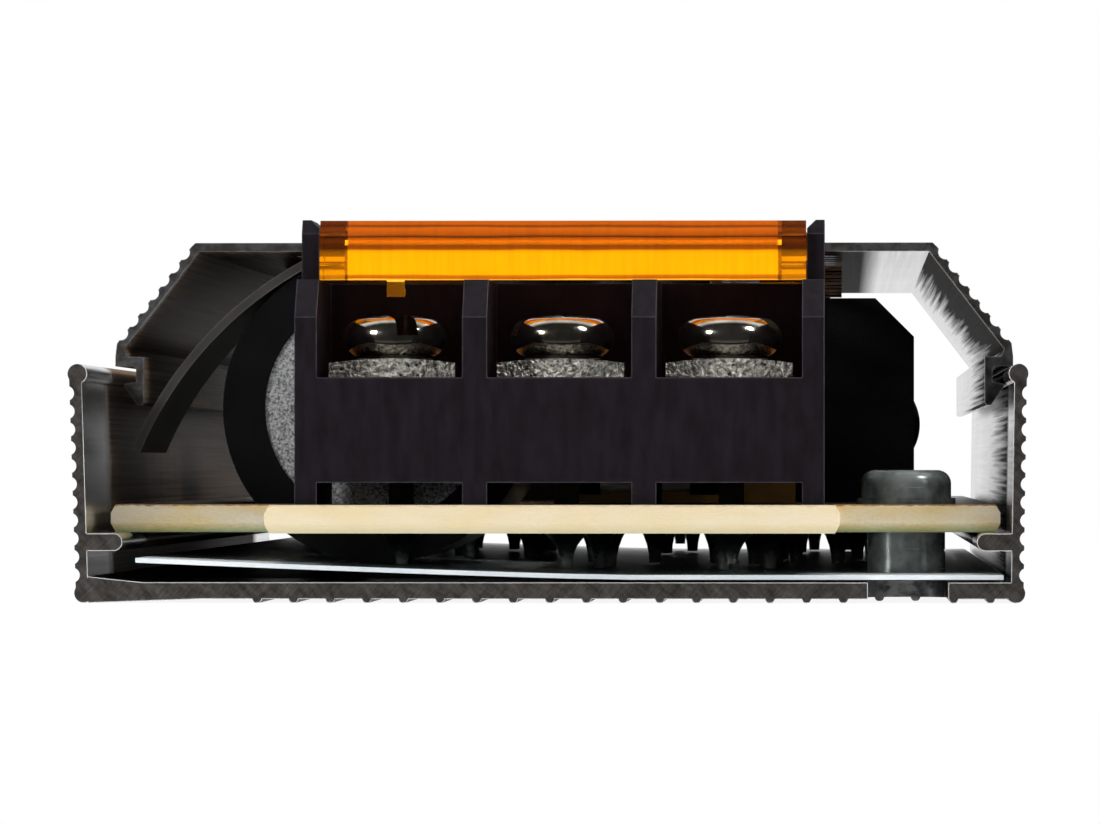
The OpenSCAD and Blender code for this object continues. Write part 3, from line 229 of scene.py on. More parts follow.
def painted_shade_spread(tree, spot, depth, lines, inside):
    """Painted shade on the surface, and its share of the capacitor's side, where it is paler."""
    under = add(tree, "MapRange", {"Value": depth, "From Min": cad_high.y - SHADE_BEGINS[0] * MM,
                                   "From Max": cad_high.y - SHADE_BEGINS[1] * MM})
    near_side = add(tree, "MapRange", {"Value": spot["X"], "From Min": SHADE_EASES[0] * MM,
                                       "From Max": SHADE_EASES[1] * MM})
    middle = add(tree, "MapRange", {"Value": spot["X"], "From Min": CEILING_SHADE_ENDS[0] * MM,
                                    "From Max": CEILING_SHADE_ENDS[1] * MM})
    level = facing(tree, "Z", 0.75, 0.95)
    ceiling = add(tree, "Math", {0: middle, 1: level}, operation="MULTIPLY")
    ragged = add(tree, "MapRange", {"Value": lines, "From Min": 0.25, "From Max": 0.75,
                                    "To Min": -STREAKS_STRAY * MM, "To Max": STREAKS_STRAY * MM})
    reach = add(tree, "Math", {0: spot["Y"], 1: ragged})
    ends = add(tree, "Mix", {0: facing(tree, "X", 0.8, 0.95), 2: SLOPE_STREAKS_END * MM,
                             3: WALL_STREAKS_END * MM}, data_type="FLOAT")
    short = add(tree, "Math", {0: ends, 1: reach}, operation="SUBTRACT")
    streaks = add(tree, "MapRange", {"Value": short, "From Min": STREAKS_FADE[0] * MM,
                                     "From Max": STREAKS_FADE[1] * MM})
    far_side = add(tree, "Mix", {0: level, 2: streaks, 3: ceiling}, data_type="FLOAT")
    spread = add(tree, "Math", {0: near_side, 1: far_side}, operation="MAXIMUM")
    shade_share = add(tree, "Math", {0: under, 1: spread}, operation="MULTIPLY")
    return add(tree, "Math", {0: shade_share, 1: inside}, operation="MULTIPLY"), near_side


def painted_shade_tone(tree, lines, near_side):
    """The painted shade's colour, darker away from the capacitor's side, where more light falls."""
    shade_streak_colour = add(tree, "ValToRGB", {"Fac": lines}, [(0.3, paint("#5C4C3E")), (0.7, paint("#947C64"))])
    far_side_darker = add(tree, "ValToRGB", {"Fac": near_side}, [(0.0, grey(0.22)), (1.0, grey(1.0))])
    return add(tree, "Mix", {"Factor": 1.0, MIX_A: shade_streak_colour, MIX_B: far_side_darker},
               data_type="RGBA", blend_type="MULTIPLY")


print("the film begins", SHADE_BEGINS[0], "to", SHADE_BEGINS[1], "mm in from either end")

# %% [markdown]
# The saw's teeth smear the soft metal and score it at a slant, and leave a burr along the inner
# edge of the walls and the floor; a near-white line on it is a painted highlight. The mounting
# slots are milled, and their walls are painted brighter, a painted highlight on the shiny metal;
# they lie between the end of the tray and the end of the board.

# %% The sawn end
SAW_SLANT = (0, 42, 0)
BURR_HIGHLIGHT_WITHIN = 0.45, 0.7
SLOTS_FROM_END = 1, 2


def sawn_end(tree, place, spot, depth, cut_code, slot_highlight_code):
    """The colour of the faces across the case, and the height of their scratches."""
    # The scratches are drawn 0.14 mm wide, a little coarser than real ones, so that they show.
    scratches = grain(tree, place, (0.14, 1, 1.6), SAW_SLANT, detail=4, roughness=0.75)
    smears = grain(tree, place, (1.3, 1, 0.5), SAW_SLANT, detail=4, roughness=0.65)
    sawn = add(tree, "ValToRGB", {"Fac": smears}, [
        (0.3, paint(cut_code, 0.5, 0.48, 0.46)), (0.72, paint(cut_code, 1.5))])
    bright = add(tree, "ValToRGB", {"Fac": scratches}, [(0.34, grey(0.75)), (0.68, grey(1.35))])
    scored = add(tree, "Mix", {"Factor": 1.0, MIX_A: sawn, MIX_B: bright},
                 data_type="RGBA", blend_type="MULTIPLY")
    # Painted highlight: near the inner edges the cut turns near white, along the burr.
    wide = add(tree, "Math", {0: spot["X"]}, operation="ABSOLUTE")
    inner = add(tree, "MapRange", {"Value": wide, "From Min": cad_high.x - BURR_HIGHLIGHT_WITHIN[0] * MM,
                                   "From Max": cad_high.x - BURR_HIGHLIGHT_WITHIN[1] * MM})
    burr_highlight = add(tree, "Math", {0: edge_mask(tree, 0.1), 1: inner}, operation="MULTIPLY")
    edged = add(tree, "Mix", {"Factor": burr_highlight, MIX_A: scored, MIX_B: paint("#E6E6E4")},
                data_type="RGBA")
    # Painted highlight: the milled slot walls take the bright colour given for them.
    milled = add(tree, "MapRange", {"Value": depth, "From Min": cad_high.y - SLOTS_FROM_END[0] * MM,
                                    "From Max": cad_high.y - SLOTS_FROM_END[1] * MM})
    polish_and_highlight = add(tree, "ValToRGB", {"Fac": grain(tree, place, (0.7, 2, 0.5), detail=3)}, [
        (0.38, paint("#77787A")), (0.6, paint(slot_highlight_code))])
    across = add(tree, "Mix", {"Factor": milled, MIX_A: edged, MIX_B: polish_and_highlight}, data_type="RGBA")
    return across, scratches, burr_highlight


print("the burr ends", BURR_HIGHLIGHT_WITHIN[1], "mm in from the side")

# %% [markdown]
# The whole finish puts these together. Handling has dulled the outside, which is paler and half
# matt. Die lines scatter light sideways only, so the shader is anisotropic: it stretches the
# reflections across the lines and keeps them sharp along the case.

# %% Extruded aluminium
def extruded_aluminium(name, face_code, cut_code, slot_highlight_code):
    material, tree, shader, place = finish(name)
    spot = add(tree, "SeparateXYZ", {"Vector": place}).outputs
    depth = add(tree, "Math", {0: spot["Y"]}, operation="ABSOLUTE")
    cut = facing(tree, "Y", 0.6, 0.8)
    # Die lines: a quarter of a millimetre apart and as long as a hand.
    lines = grain(tree, place, (0.22, 70, 0.22), detail=3)
    cloud = grain(tree, place, (5, 16, 3), detail=3)
    bare = add(tree, "ValToRGB", {"Fac": cloud}, [
        (0.35, paint(face_code, 0.5, 0.46, 0.42)), (0.7, paint(face_code, 1.1))])
    dulled = add(tree, "ValToRGB", {"Fac": cloud}, [
        (0.35, paint("#CFD0D2", 0.8)), (0.7, paint("#CFD0D2"))])
    # Inside is where the surface faces the middle of the case.
    away = add(tree, "VectorMath", {0: place, 1: (0, 0, cad_high.z / 2)}, operation="SUBTRACT")
    away = add(tree, "VectorMath", {0: away, 1: (1, 0, 1)}, operation="MULTIPLY")
    away = add(tree, "VectorMath", {0: away, 1: add(tree, "NewGeometry").outputs["Normal"]},
               operation="DOT_PRODUCT")
    inside = add(tree, "Math", {0: away, 1: 0.0}, operation="LESS_THAN")
    # Painted shade: deep in the case, the inner walls and ceiling take a dark brown.
    shade_share, near_side = painted_shade_spread(tree, spot, depth, lines, inside)
    face = add(tree, "Mix", {"Factor": inside, MIX_A: dulled, MIX_B: bare}, data_type="RGBA")
    face = add(tree, "Mix", {"Factor": shade_share, MIX_A: face, MIX_B: painted_shade_tone(tree, lines, near_side)},
               data_type="RGBA")
    across, scratches, burr_highlight = sawn_end(tree, place, spot, depth, cut_code, slot_highlight_code)
    colour = add(tree, "Mix", {"Factor": cut, MIX_A: face, MIX_B: across}, data_type="RGBA")
    gloss = add(tree, "MapRange", {"Value": lines, "To Min": 0.16, "To Max": 0.28})
    # The painted shade and the burr's painted highlight show their own colour, and the outside half its
    # own.
    along = add(tree, "Math", {0: 1.0, 1: cut}, operation="SUBTRACT")
    shade_film = add(tree, "Math", {0: shade_share, 1: along}, operation="MULTIPLY")
    highlight_on_cut = add(tree, "Math", {0: burr_highlight, 1: cut}, operation="MULTIPLY")
    matt = add(tree, "Math", {0: shade_film, 1: highlight_on_cut}, operation="MAXIMUM")
    mirror = add(tree, "MapRange", {"Value": matt, "To Min": 1.0, "To Max": 0.06})
    undulled = add(tree, "Math", {0: inside, 1: cut}, operation="MAXIMUM")
    sheen = add(tree, "MapRange", {"Value": undulled, "To Min": 0.55, "To Max": 1.0})
    height = add(tree, "Math", {0: cut, 1: scratches}, operation="MULTIPLY")
    feed(tree, shader, {
        "Base Color": colour,
        "Roughness": add(tree, "Mix", {0: cut, 2: gloss, 3: 0.55}, data_type="FLOAT"),
        "Metallic": add(tree, "Math", {0: mirror, 1: sheen}, operation="MULTIPLY"),
        "Specular IOR Level": 0.0,
        "Anisotropic": add(tree, "MapRange", {"Value": cut, "To Min": 0.95, "To Max": 0.0}),
        "Anisotropic Rotation": 0.25,
        "Tangent": add(tree, "CombineXYZ", {"Y": 1.0}),
        "Normal": add(tree, "Bump", {"Height": height, "Distance": 0.03 * MM, "Strength": 0.7}),
    })
    return material


wear(extruded_aluminium("extruded_aluminium_tray", "#85868A", "#706C69", "#DCDCDA"), "case_tray")
wear(extruded_aluminium("extruded_aluminium_cover", "#8A8A8C", "#5C5755", "#5C5755"), "case_cover")

# %% [markdown]
# ## The board and the film below it
#
# The board is composite laminate: paper and glass in cream resin, scored and snapped, so its edge
# shows the cream core with the fibres running along it. The top carries a brown lacquer, and the
# solder side a green one that creeps a little way up the edge. The film is clear polyester with a
# milky cut edge.

# %% Laminate board
# Only the tongues under the blocks come this near to the board's ends, in mm.
TONGUE_EDGE = 0.6


def composite_laminate(name):
    material, tree, shader, place = finish(name)
    spot = add(tree, "SeparateXYZ", {"Vector": place}).outputs
    low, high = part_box("circuit_board")
    share = add(tree, "MapRange", {"Value": spot["Z"], "From Min": low.z, "From Max": high.z})
    ragged = add(tree, "Math", {0: grain(tree, place, (0.5, 0.5, 0.12), detail=4), 1: 0.16, 2: -0.08},
                 operation="MULTIPLY_ADD")
    rim = add(tree, "Math", {0: share, 1: ragged}, operation="ADD")
    # Painted light: the cream runs near white, to make up for the case's shade over the board's edge.
    layers = add(tree, "ValToRGB", {"Fac": rim}, [
        (0.0, paint("#8FA886")), (0.93, paint("#F8E8C8")), (0.2, paint("#DDD6AE")),
        (0.36, paint("#FFF8E4")), (0.97, paint("#9A7A54"))])
    # Resin takes up colour in patches a few millimetres wide, and fibres draw fine dashes.
    patches = add(tree, "ValToRGB", {"Fac": grain(tree, place, (5, 5, 1.4), detail=4)}, [
        (0.36, paint("#FFFFFF")), (0.7, paint("#F8E2A8"))])
    fibres = add(tree, "ValToRGB", {"Fac": grain(tree, place, (0.25, 0.25, 0.12), detail=3)}, [
        (0.34, paint("#E4D8C0")), (0.6, paint("#FFFFFF"))])
    stained = add(tree, "Mix", {"Factor": 1.0, MIX_A: layers, MIX_B: patches},
                  data_type="RGBA", blend_type="MULTIPLY")
    edge = add(tree, "Mix", {"Factor": 0.25, MIX_A: stained, MIX_B: fibres},
               data_type="RGBA", blend_type="MULTIPLY")
    # The tongues under the blocks were snapped, not sawn. They stand nearer the front light than the
    # rest of the edge, so they are painted duller and greyer: painted shade that evens the two out.
    reach = add(tree, "Math", {0: spot["Y"]}, operation="ABSOLUTE")
    tongue = add(tree, "Math", {0: reach, 1: high.y - TONGUE_EDGE * MM}, operation="GREATER_THAN")
    tongue_toned_down = add(tree, "Math", {0: tongue, 1: 0.8}, operation="MULTIPLY")
    shade_evened_edge = add(tree, "Mix", {"Factor": tongue_toned_down, MIX_A: edge, MIX_B: paint("#B4A78B")},
                  data_type="RGBA")
    # Lacquered faces: brown above, green below, mottled by the copper under them.
    mottle = grain(tree, place, (2.2, 2.2, 2.2), detail=4)
    above = add(tree, "ValToRGB", {"Fac": mottle}, [(0.35, paint("#33281A")), (0.7, paint("#54422A"))])
    below = add(tree, "ValToRGB", {"Fac": mottle}, [(0.35, paint("#16402A")), (0.7, paint("#2A6A44"))])
    normal = add(tree, "NewGeometry").outputs["Normal"]
    upward = add(tree, "SeparateXYZ", {"Vector": normal}).outputs["Z"]
    is_top = add(tree, "Math", {0: upward, 1: 0.9}, operation="GREATER_THAN")
    is_under = add(tree, "Math", {0: upward, 1: -0.9}, operation="LESS_THAN")
    with_top = add(tree, "Mix", {"Factor": is_top, MIX_A: shade_evened_edge, MIX_B: above}, data_type="RGBA")
    whole = add(tree, "Mix", {"Factor": is_under, MIX_A: with_top, MIX_B: below}, data_type="RGBA")
    fibre_height = grain(tree, place, (0.35, 0.35, 0.1), detail=4)
    feed(tree, shader, {
        "Base Color": whole,
        "Roughness": add(tree, "Mix", {0: facing(tree, "Z", 0.6, 0.9), 2: 0.75, 3: 0.32},
                         data_type="FLOAT"),
        "Normal": add(tree, "Bump", {"Height": fibre_height, "Distance": 0.05 * MM, "Strength": 0.6}),
    })
    return material


wear(composite_laminate("composite_laminate"), "circuit_board")

# %% Polyester film
def polyester_film(name):
    material, tree, shader, place = finish(name)
    haze = grain(tree, place, (5, 9, 5), detail=3)
    ripple = grain(tree, place, (2, 12, 2))
    feed(tree, shader, {
        "Base Color": add(tree, "ValToRGB", {"Fac": haze}, [
            (0.3, paint("#D3DEE4")), (0.7, paint("#EDF2F4"))]),
        "Roughness": 0.28,
        "IOR": 1.6,
        "Transmission Weight": 0.25,
        "Normal": add(tree, "Bump", {"Height": ripple, "Distance": 0.03 * MM, "Strength": 0.3}),
    })
    return material


wear(polyester_film("polyester_film"), "insulating_film")

# %% [markdown]
# ## The terminal blocks: moulded black PBT
#
# PBT takes the heat of a solder bath. It is moulded in steel that has been spark-eroded and
# draw-polished, so upright faces show faint streaks along the draw, and edges are paler in patches.
# The same function makes the other moulded pieces, each with its own colours and gloss.

# %% Moulded plastics
def moulded_plastic(name, code, edge_code, streak_mm, roughness, grit_mm=0.12, depth_mm=0.01,
                    specular=0.5):
    """Opaque moulded plastic with streaks of streak_mm, edges paler in patches and a fine grit."""
    material, tree, shader, place = finish(name)
    streaks = grain(tree, place, streak_mm, detail=3)
    body = add(tree, "ValToRGB", {"Fac": streaks}, [
        (0.3, paint(code, 0.75)), (0.75, paint(code, 1.35))])
    pale_edge_patches = add(tree, "Math", {0: edge_mask(tree, 0.12), 1: grain(tree, place, (0.8, 0.8, 0.8))},
                 operation="MULTIPLY")
    grit = grain(tree, place, (grit_mm,) * 3, detail=4)
    feed(tree, shader, {
        "Base Color": add(tree, "Mix", {"Factor": pale_edge_patches, MIX_A: body, MIX_B: paint(edge_code)},
                          data_type="RGBA"),
        "Roughness": add(tree, "MapRange", {"Value": grit, "To Min": roughness - 0.08,
                                            "To Max": roughness + 0.08}),
        "Specular IOR Level": specular,
        "Normal": add(tree, "Bump", {"Height": grit, "Distance": depth_mm * MM, "Strength": 0.5}),
    })
    return material


wear(moulded_plastic("moulded_black_pbt", "#151116", "#57515A", (0.5, 0.5, 2), 0.6, specular=0.08),
     "input_block", "output_block")
wear(moulded_plastic("moulded_epoxy", "#222223", "#4A4A4A", (0.6, 0.6, 0.6), 0.6),
     "power_transistor", "output_rectifier", "bridge_rectifier", "control_chip")
wear(moulded_plastic("moulded_phenolic_former", "#2B2624", "#55504C", (1, 1, 1), 0.5),
     "transformer_bobbin")
wear(moulded_plastic("moulded_white_opto", "#D9D8D2", "#F2F1EC", (1, 1, 1), 0.45), "optocoupler")
wear(moulded_plastic("moulded_blue_trimmer", "#2858A8", "#6C90CC", (1, 1, 1), 0.4), "trimmer_body")
wear(moulded_plastic("moulded_white_rotor", "#E2E0D8", "#F4F3EE", (1, 1, 1), 0.4), "trimmer_rotor")
wear(moulded_plastic("rubber_plug", "#262626", "#4A4A4A", (0.5, 0.5, 0.5), 0.75, 0.2, 0.02),
     "bulk_capacitor_plug")
wear(moulded_plastic("shield_board", "#34312F", "#77726C", (3, 10, 3), 0.42), "inner_shield")

# %% [markdown]
# ## The flip covers: clear amber acrylic
#
# Cast clear and dyed amber, the covers glow where the pale background shines through and darken
# where the case stands behind them. Only real refraction does that, so the shader transmits, and
# faint flow lines from the mould bend the light a little.
#
# Clear plastic also pipes light from the bright room to its front flange, which glows in bands
# from the rim up. That room isn't in the scene, so the bands are painted on: as the colour and as
# a weak light of their own, and less shows through them. The cheeks at both ends are thicker, and
# little of that light reaches their front.

# %% Amber acrylic
# Height on the flange, from 0 near its rim to 1 at its top, and the colour of the band there.
FLANGE_BANDS = [
    (0.0, "#FFCF50"), (0.035, "#F0A820"), (0.05, "#A85A08"), (0.1, "#C06A08"), (0.125, "#FFA200"),
    (0.46, "#FF9C00"), (0.5, "#E08A04"), (0.53, "#8A4204"), (0.6, "#743404"), (0.64, "#A44C06"),
    (0.7, "#A24A06"), (0.73, "#481E02"), (0.77, "#8E4004"), (0.87, "#A64E06"), (0.91, "#5E2804"),
    (0.94, "#984606"), (1.0, "#A04C06")]
# In millimetres: how far the bands begin above the cover's lowest point, which on the input side
# is the tip of its peg, and end past its top; how much they wander; and a cheek with its pin.
BANDS_BEGIN, BANDS_END = 0.95, 0.08
BANDS_WANDER = 0.16
CHEEK_AND_PIN = 2.45


def amber_acrylic(name, cover):
    material, tree, shader, place = finish(name)
    low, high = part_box(cover)
    spot = add(tree, "SeparateXYZ", {"Vector": place}).outputs
    wander = add(tree, "Math", {0: grain(tree, place, (5, 1, 1)), 1: BANDS_WANDER * MM},
                 operation="MULTIPLY")
    lifted = add(tree, "Math", {0: spot["Z"], 1: wander})
    up = add(tree, "MapRange", {"Value": lifted, "From Min": low.z + BANDS_BEGIN * MM,
                                "From Max": high.z + BANDS_END * MM})
    bands = add(tree, "ValToRGB", {"Fac": up}, [(share, paint(code)) for share, code in FLANGE_BANDS])
    ripple = grain(tree, place, (0.35, 1, 6), detail=3)
    streaks = add(tree, "ValToRGB", {"Fac": ripple}, [(0.3, grey(0.9)), (0.6, grey(1.0))])
    glow = add(tree, "Mix", {"Factor": 1.0, MIX_A: bands, MIX_B: streaks},
               data_type="RGBA", blend_type="MULTIPLY")
    # The front is what faces along the case above the rim; the peg below the rim stays clear.
    above_rim = add(tree, "Math", {0: up, 1: 0.0}, operation="GREATER_THAN")
    front = add(tree, "Math", {0: facing(tree, "Y", 0.55, 0.65), 1: above_rim}, operation="MULTIPLY")
    off_middle = add(tree, "Math", {0: spot["X"], 1: (low.x + high.x) / 2}, operation="SUBTRACT")
    off_middle = add(tree, "Math", {0: off_middle}, operation="ABSOLUTE")
    cheek_from = (high.x - low.x) / 2 - CHEEK_AND_PIN * MM
    between = add(tree, "MapRange", {"Value": off_middle, "From Min": cheek_from,
                                     "From Max": cheek_from - 0.1 * MM, "To Min": 0.15, "To Max": 1.0})
    lit = add(tree, "Math", {0: front, 1: between}, operation="MULTIPLY")
    tint = add(tree, "ValToRGB", {"Fac": grain(tree, place, (6, 3, 1.2))}, [
        (0.3, paint("#E87E04")), (0.7, paint("#FFA608"))])
    flow = grain(tree, place, (9, 1.2, 0.9))
    feed(tree, shader, {
        "Base Color": add(tree, "Mix", {"Factor": front, MIX_A: tint, MIX_B: glow}, data_type="RGBA"),
        "Emission Color": glow,
        "Emission Strength": add(tree, "Math", {0: lit, 1: 0.5}, operation="MULTIPLY"),
        "Transmission Weight": add(tree, "MapRange", {"Value": lit, "To Min": 1.0, "To Max": 0.3}),
        "IOR": 1.49,
        "Roughness": 0.03,
        "Normal": add(tree, "Bump", {"Height": flow, "Distance": 0.03 * MM, "Strength": 0.3}),
    })
    return material


wear(amber_acrylic("amber_acrylic_input", "input_cover"), "input_cover")
wear(amber_acrylic("amber_acrylic_output", "output_cover"), "output_cover")

# %% [markdown]
# ## Screws, clamps and leads: plated steel
#
# Nickel is laid over polished steel and keeps its dents and drawn marks. Clamp washers are
# stamped and tumbled, so they are speckled; the speckle is painted into their colour, partly the
# marks and partly painted glints. Leads and clips are tinned, softer and whiter.
#
# Turned faces keep rings from the tool, which on an upright spacer are level lines. Thin plating
# over turned steel is half matt, so the spacers and their screws are only half metallic.

# %% Plated metals
def plated_metal(name, code, shade_code, mark_mm, gloss, depth_mm, glint_speckled=False, metallic=1.0):
    """Plated metal with marks of mark_mm; with glint_speckled they also colour it, partly as painted
    glints.
    """
    material, tree, shader, place = finish(name)
    marks = grain(tree, place, mark_mm, detail=4, roughness=0.6)
    cloud = marks if glint_speckled else grain(tree, place, (1.2, 1.2, 1.2), detail=3)
    feed(tree, shader, {
        "Base Color": add(tree, "ValToRGB", {"Fac": cloud}, [
            (0.32, paint(shade_code)), (0.62, paint(code))]),
        "Roughness": add(tree, "MapRange", {"Value": marks, "To Min": gloss[0], "To Max": gloss[1]}),
        "Metallic": metallic,
        "Normal": add(tree, "Bump", {"Height": marks, "Distance": depth_mm * MM, "Strength": 0.6}),
    })
    return material


screws = [n for n in nodes if "put_screw_" in n]
washers = [n for n in nodes if "put_washer_" in n]
wear(plated_metal("bright_nickel", "#CFC9BC", "#A39C8E", (0.3, 0.12, 0.3), (0.06, 0.2), 0.006),
     *screws)
# Painted glints: the washers' speckle runs from near black to near white in their colour.
wear(plated_metal("tumbled_steel", "#CCCAC2", "#34322F", (0.3, 0.3, 0.3), (0.2, 0.4), 0.6,
                  glint_speckled=True), *washers)
# Painted shade: the tinned contacts take a dark brown-grey, as they stand under the blocks.
wear(plated_metal("tinned_contact_in_shade", "#6A6358", "#3A352E", (0.3, 0.3, 0.3), (0.2, 0.4), 0.01),
     "input_plates", "output_plates")
wear(plated_metal("turned_nickel", "#A4ACAA", "#68706E", (6, 6, 0.12), (0.14, 0.34), 0.006,
                  metallic=0.5), "board_spacers", "board_screws")
wear(plated_metal("spring_steel", "#BEBFC0", "#8A8B8C", (4, 0.2, 0.2), (0.1, 0.28), 0.01),
     "transistor_clip")
wear(plated_metal("tinned_wire", "#C4C4C0", "#8E8E8A", (0.2, 0.2, 1.5), (0.2, 0.4), 0.01),
     "component_leads")
wear(plated_metal("nickel_caps", "#C8C6BE", "#99968E", (0.2, 2, 0.2), (0.12, 0.3), 0.008), "fuse_caps")

# %% [markdown]
# ## Solder
#
# Each cone is frozen mid-flow, dull where flux has dried near the board. Its tip is painted
# bright: partly bare solder, partly a painted glint.

# %% Solder and flux
def solder_finish(name):
    material, tree, shader, place = finish(name)
    low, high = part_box("solder_joints")
    level = add(tree, "SeparateXYZ", {"Vector": place}).outputs["Z"]
    share = add(tree, "MapRange", {"Value": level, "From Min": low.z, "From Max": high.z})
    spots = grain(tree, place, (0.35, 0.35, 0.35), detail=3)
    moved = add(tree, "Math", {0: spots, 1: 0.5, 2: share}, operation="MULTIPLY_ADD")
    # Painted glint: the colour turns pale grey towards the tip, and dark green towards the board.
    feed(tree, shader, {
        "Base Color": add(tree, "ValToRGB", {"Fac": moved}, [
            (0.35, paint("#B4B8B4")), (1.0, paint("#20302A")), (0.62, paint("#4A5850"))]),
        "Metallic": 0.85,
        "Roughness": add(tree, "MapRange", {"Value": spots, "To Min": 0.12, "To Max": 0.35}),
        "Normal": add(tree, "Bump", {"Height": spots, "Distance": 0.02 * MM, "Strength": 0.4}),
    })
    return material


wear(solder_finish("solder_and_flux"), "solder_joints", "component_joints")

# %% [markdown]
# ## Capacitors: drawn aluminium in a shrunk sleeve
#
# The can's end is etched before drawing, so it sparkles in fine grains and stays half matt: it
# shows pale even in a dark room. The sleeve is heated until it hugs the can, and comes out dark
# and glossy with a soft ripple round the rim.

# %% Can and sleeve
def etched_can(name):
    material, tree, shader, place = finish(name)
    speck = grain(tree, place, (0.13, 0.13, 0.13), detail=3, roughness=0.7)
    feed(tree, shader, {
        "Base Color": add(tree, "ValToRGB", {"Fac": speck}, [
            (0.36, paint("#585A5C")), (0.62, paint("#E4E4E4"))]),
        "Metallic": 0.55,
        "Roughness": 0.42,
        "Normal": add(tree, "Bump", {"Height": speck, "Distance": 0.03 * MM, "Strength": 0.5}),
    })
    return material


def shrunk_sleeve(name, code):
    material, tree, shader, place = finish(name)
    ripple = grain(tree, place, (2.5, 1.2, 2.5), detail=2)
    feed(tree, shader, {
        "Base Color": add(tree, "ValToRGB", {"Fac": ripple}, [
            (0.3, paint(code, 0.8)), (0.7, paint(code, 1.25))]),
        "Roughness": 0.24,
        "Normal": add(tree, "Bump", {"Height": ripple, "Distance": 0.12 * MM, "Strength": 0.5}),
    })
    return material


wear(etched_can("etched_can"), "bulk_capacitor_can", "output_capacitor_cans")
wear(shrunk_sleeve("shrunk_black_sleeve", "#0B0B0D"), "bulk_capacitor_sleeve",
     "output_capacitor_sleeves")

# %% [markdown]
# ## Heat sinks: black anodised plate
#
# Anodising dyes the aluminium's own skin, so the surface stays metal-smooth but drinks the light.

# %% Anodised plate
def black_anodised(name):
    material, tree, shader, place = finish(name)
    brush = grain(tree, place, (0.3, 12, 0.3), detail=3)
    feed(tree, shader, {
        "Base Color": add(tree, "ValToRGB", {"Fac": brush}, [
            (0.3, paint("#0C0C0D")), (0.7, paint("#19191B"))]),
        "Specular IOR Level": 0.25,
        "Roughness": add(tree, "MapRange", {"Value": brush, "To Min": 0.4, "To Max": 0.6}),
        "Normal": add(tree, "Bump", {"Height": brush, "Distance": 0.01 * MM, "Strength": 0.4}),
    })
    return material


wear(black_anodised("black_anodised_plate"), "primary_heat_sink", "output_heat_sink")

# %% [markdown]
# ## Dipped, pressed and wound parts
#
# Discs are dipped in epoxy and drip dry, so they are glossy with a wavy skin. Ferrite is pressed
# powder, grey and matt. Film boxes are smooth yellow plastic, and tape is glossy in layers.

# %% Dipped epoxy, ferrite, film box and tape
def dipped_epoxy(name, code):
    material, tree, shader, place = finish(name)
    wave = grain(tree, place, (2.2, 2.2, 1.6), detail=2)
    feed(tree, shader, {
        "Base Color": add(tree, "ValToRGB", {"Fac": wave}, [
            (0.3, paint(code, 0.75)), (0.7, paint(code, 1.2))]),
        "Roughness": 0.18,
        "Coat Weight": 0.4,
        "Normal": add(tree, "Bump", {"Height": wave, "Distance": 0.25 * MM, "Strength": 0.5}),
    })
    return material


def pressed_powder(name, code, pale_code):
    material, tree, shader, place = finish(name)
    speck = grain(tree, place, (0.18, 0.18, 0.18), detail=4)
    feed(tree, shader, {
        "Base Color": add(tree, "ValToRGB", {"Fac": speck}, [
            (0.3, paint(code)), (0.72, paint(pale_code))]),
        "Roughness": 0.55,
        "Normal": add(tree, "Bump", {"Height": speck, "Distance": 0.03 * MM, "Strength": 0.5}),
    })
    return material


def wound_tape(name):
    material, tree, shader, place = finish(name)
    # The layers' edges show as thin level steps, a third of a millimetre apart.
    layers = grain(tree, place, (14, 14, 0.35), detail=2)
    feed(tree, shader, {
        "Base Color": add(tree, "ValToRGB", {"Fac": layers}, [
            (0.3, paint("#B48A18")), (0.65, paint("#E8C040"))]),
        "Roughness": 0.25,
        "Normal": add(tree, "Bump", {"Height": layers, "Distance": 0.08 * MM, "Strength": 0.7}),
    })
    return material


wear(dipped_epoxy("dipped_blue_epoxy", "#2A5FB0"), "safety_capacitors")
wear(dipped_epoxy("dipped_dark_epoxy", "#232A22"), "thermistor")
wear(dipped_epoxy("green_lens", "#38B050"), "indicator_led")
wear(dipped_epoxy("glazed_fuse_tube", "#D8D4C4"), "fuse_body")
# Painted shade: the yellow film box takes a dark brown, as it stands under the block.
wear(dipped_epoxy("film_box_in_shade", "#4A3410"), "line_capacitor")
wear(pressed_powder("pressed_ferrite", "#2C2D30", "#4A4B4F"), "transformer_core", "choke_core")
wear(pressed_powder("coated_powder_core", "#B89A28", "#E2C850"), "inductor_core")
wear(wound_tape("wound_polyester_tape"), "transformer_winding")

# %% [markdown]
# ## The chokes' windings, turn by turn
#
# In the frame a winding is one smooth half ring. The real one is thick enamelled wire threaded
# round the core, each turn lying beside the last. A path is walked round the core's section while
# it creeps along the ring, and a round section is swept along it.

# %% Enamelled copper
def enamelled_copper(name):
    material, tree, shader, place = finish(name)
    drawn = grain(tree, place, (0.8, 0.8, 0.8), detail=3)
    feed(tree, shader, {
        "Base Color": add(tree, "ValToRGB", {"Fac": drawn}, [
            (0.3, paint("#8A4218")), (0.7, paint("#C8743A"))]),
        "Metallic": 1.0,
        "Roughness": add(tree, "MapRange", {"Value": drawn, "To Min": 0.16, "To Max": 0.32}),
        "Coat Weight": 0.6,
        "Coat Roughness": 0.08,
        "Normal": add(tree, "Bump", {"Height": drawn, "Distance": 0.02 * MM, "Strength": 0.3}),
    })
    return material


copper = enamelled_copper("enamelled_copper")
print(copper.name, "ready for the windings")


# %% Close a mesh and show it
def built(name, shape, materials):
    """Turns a finished bmesh into a piece of the scene that wears these materials."""
    bmesh.ops.recalc_face_normals(shape, faces=shape.faces)
    mesh = bpy.data.meshes.new(name)
    shape.to_mesh(mesh)
    shape.free()
    for material in materials:
        mesh.materials.append(material)
    piece = bpy.data.objects.new(name, mesh)
    bpy.context.scene.collection.objects.link(piece)
    return piece


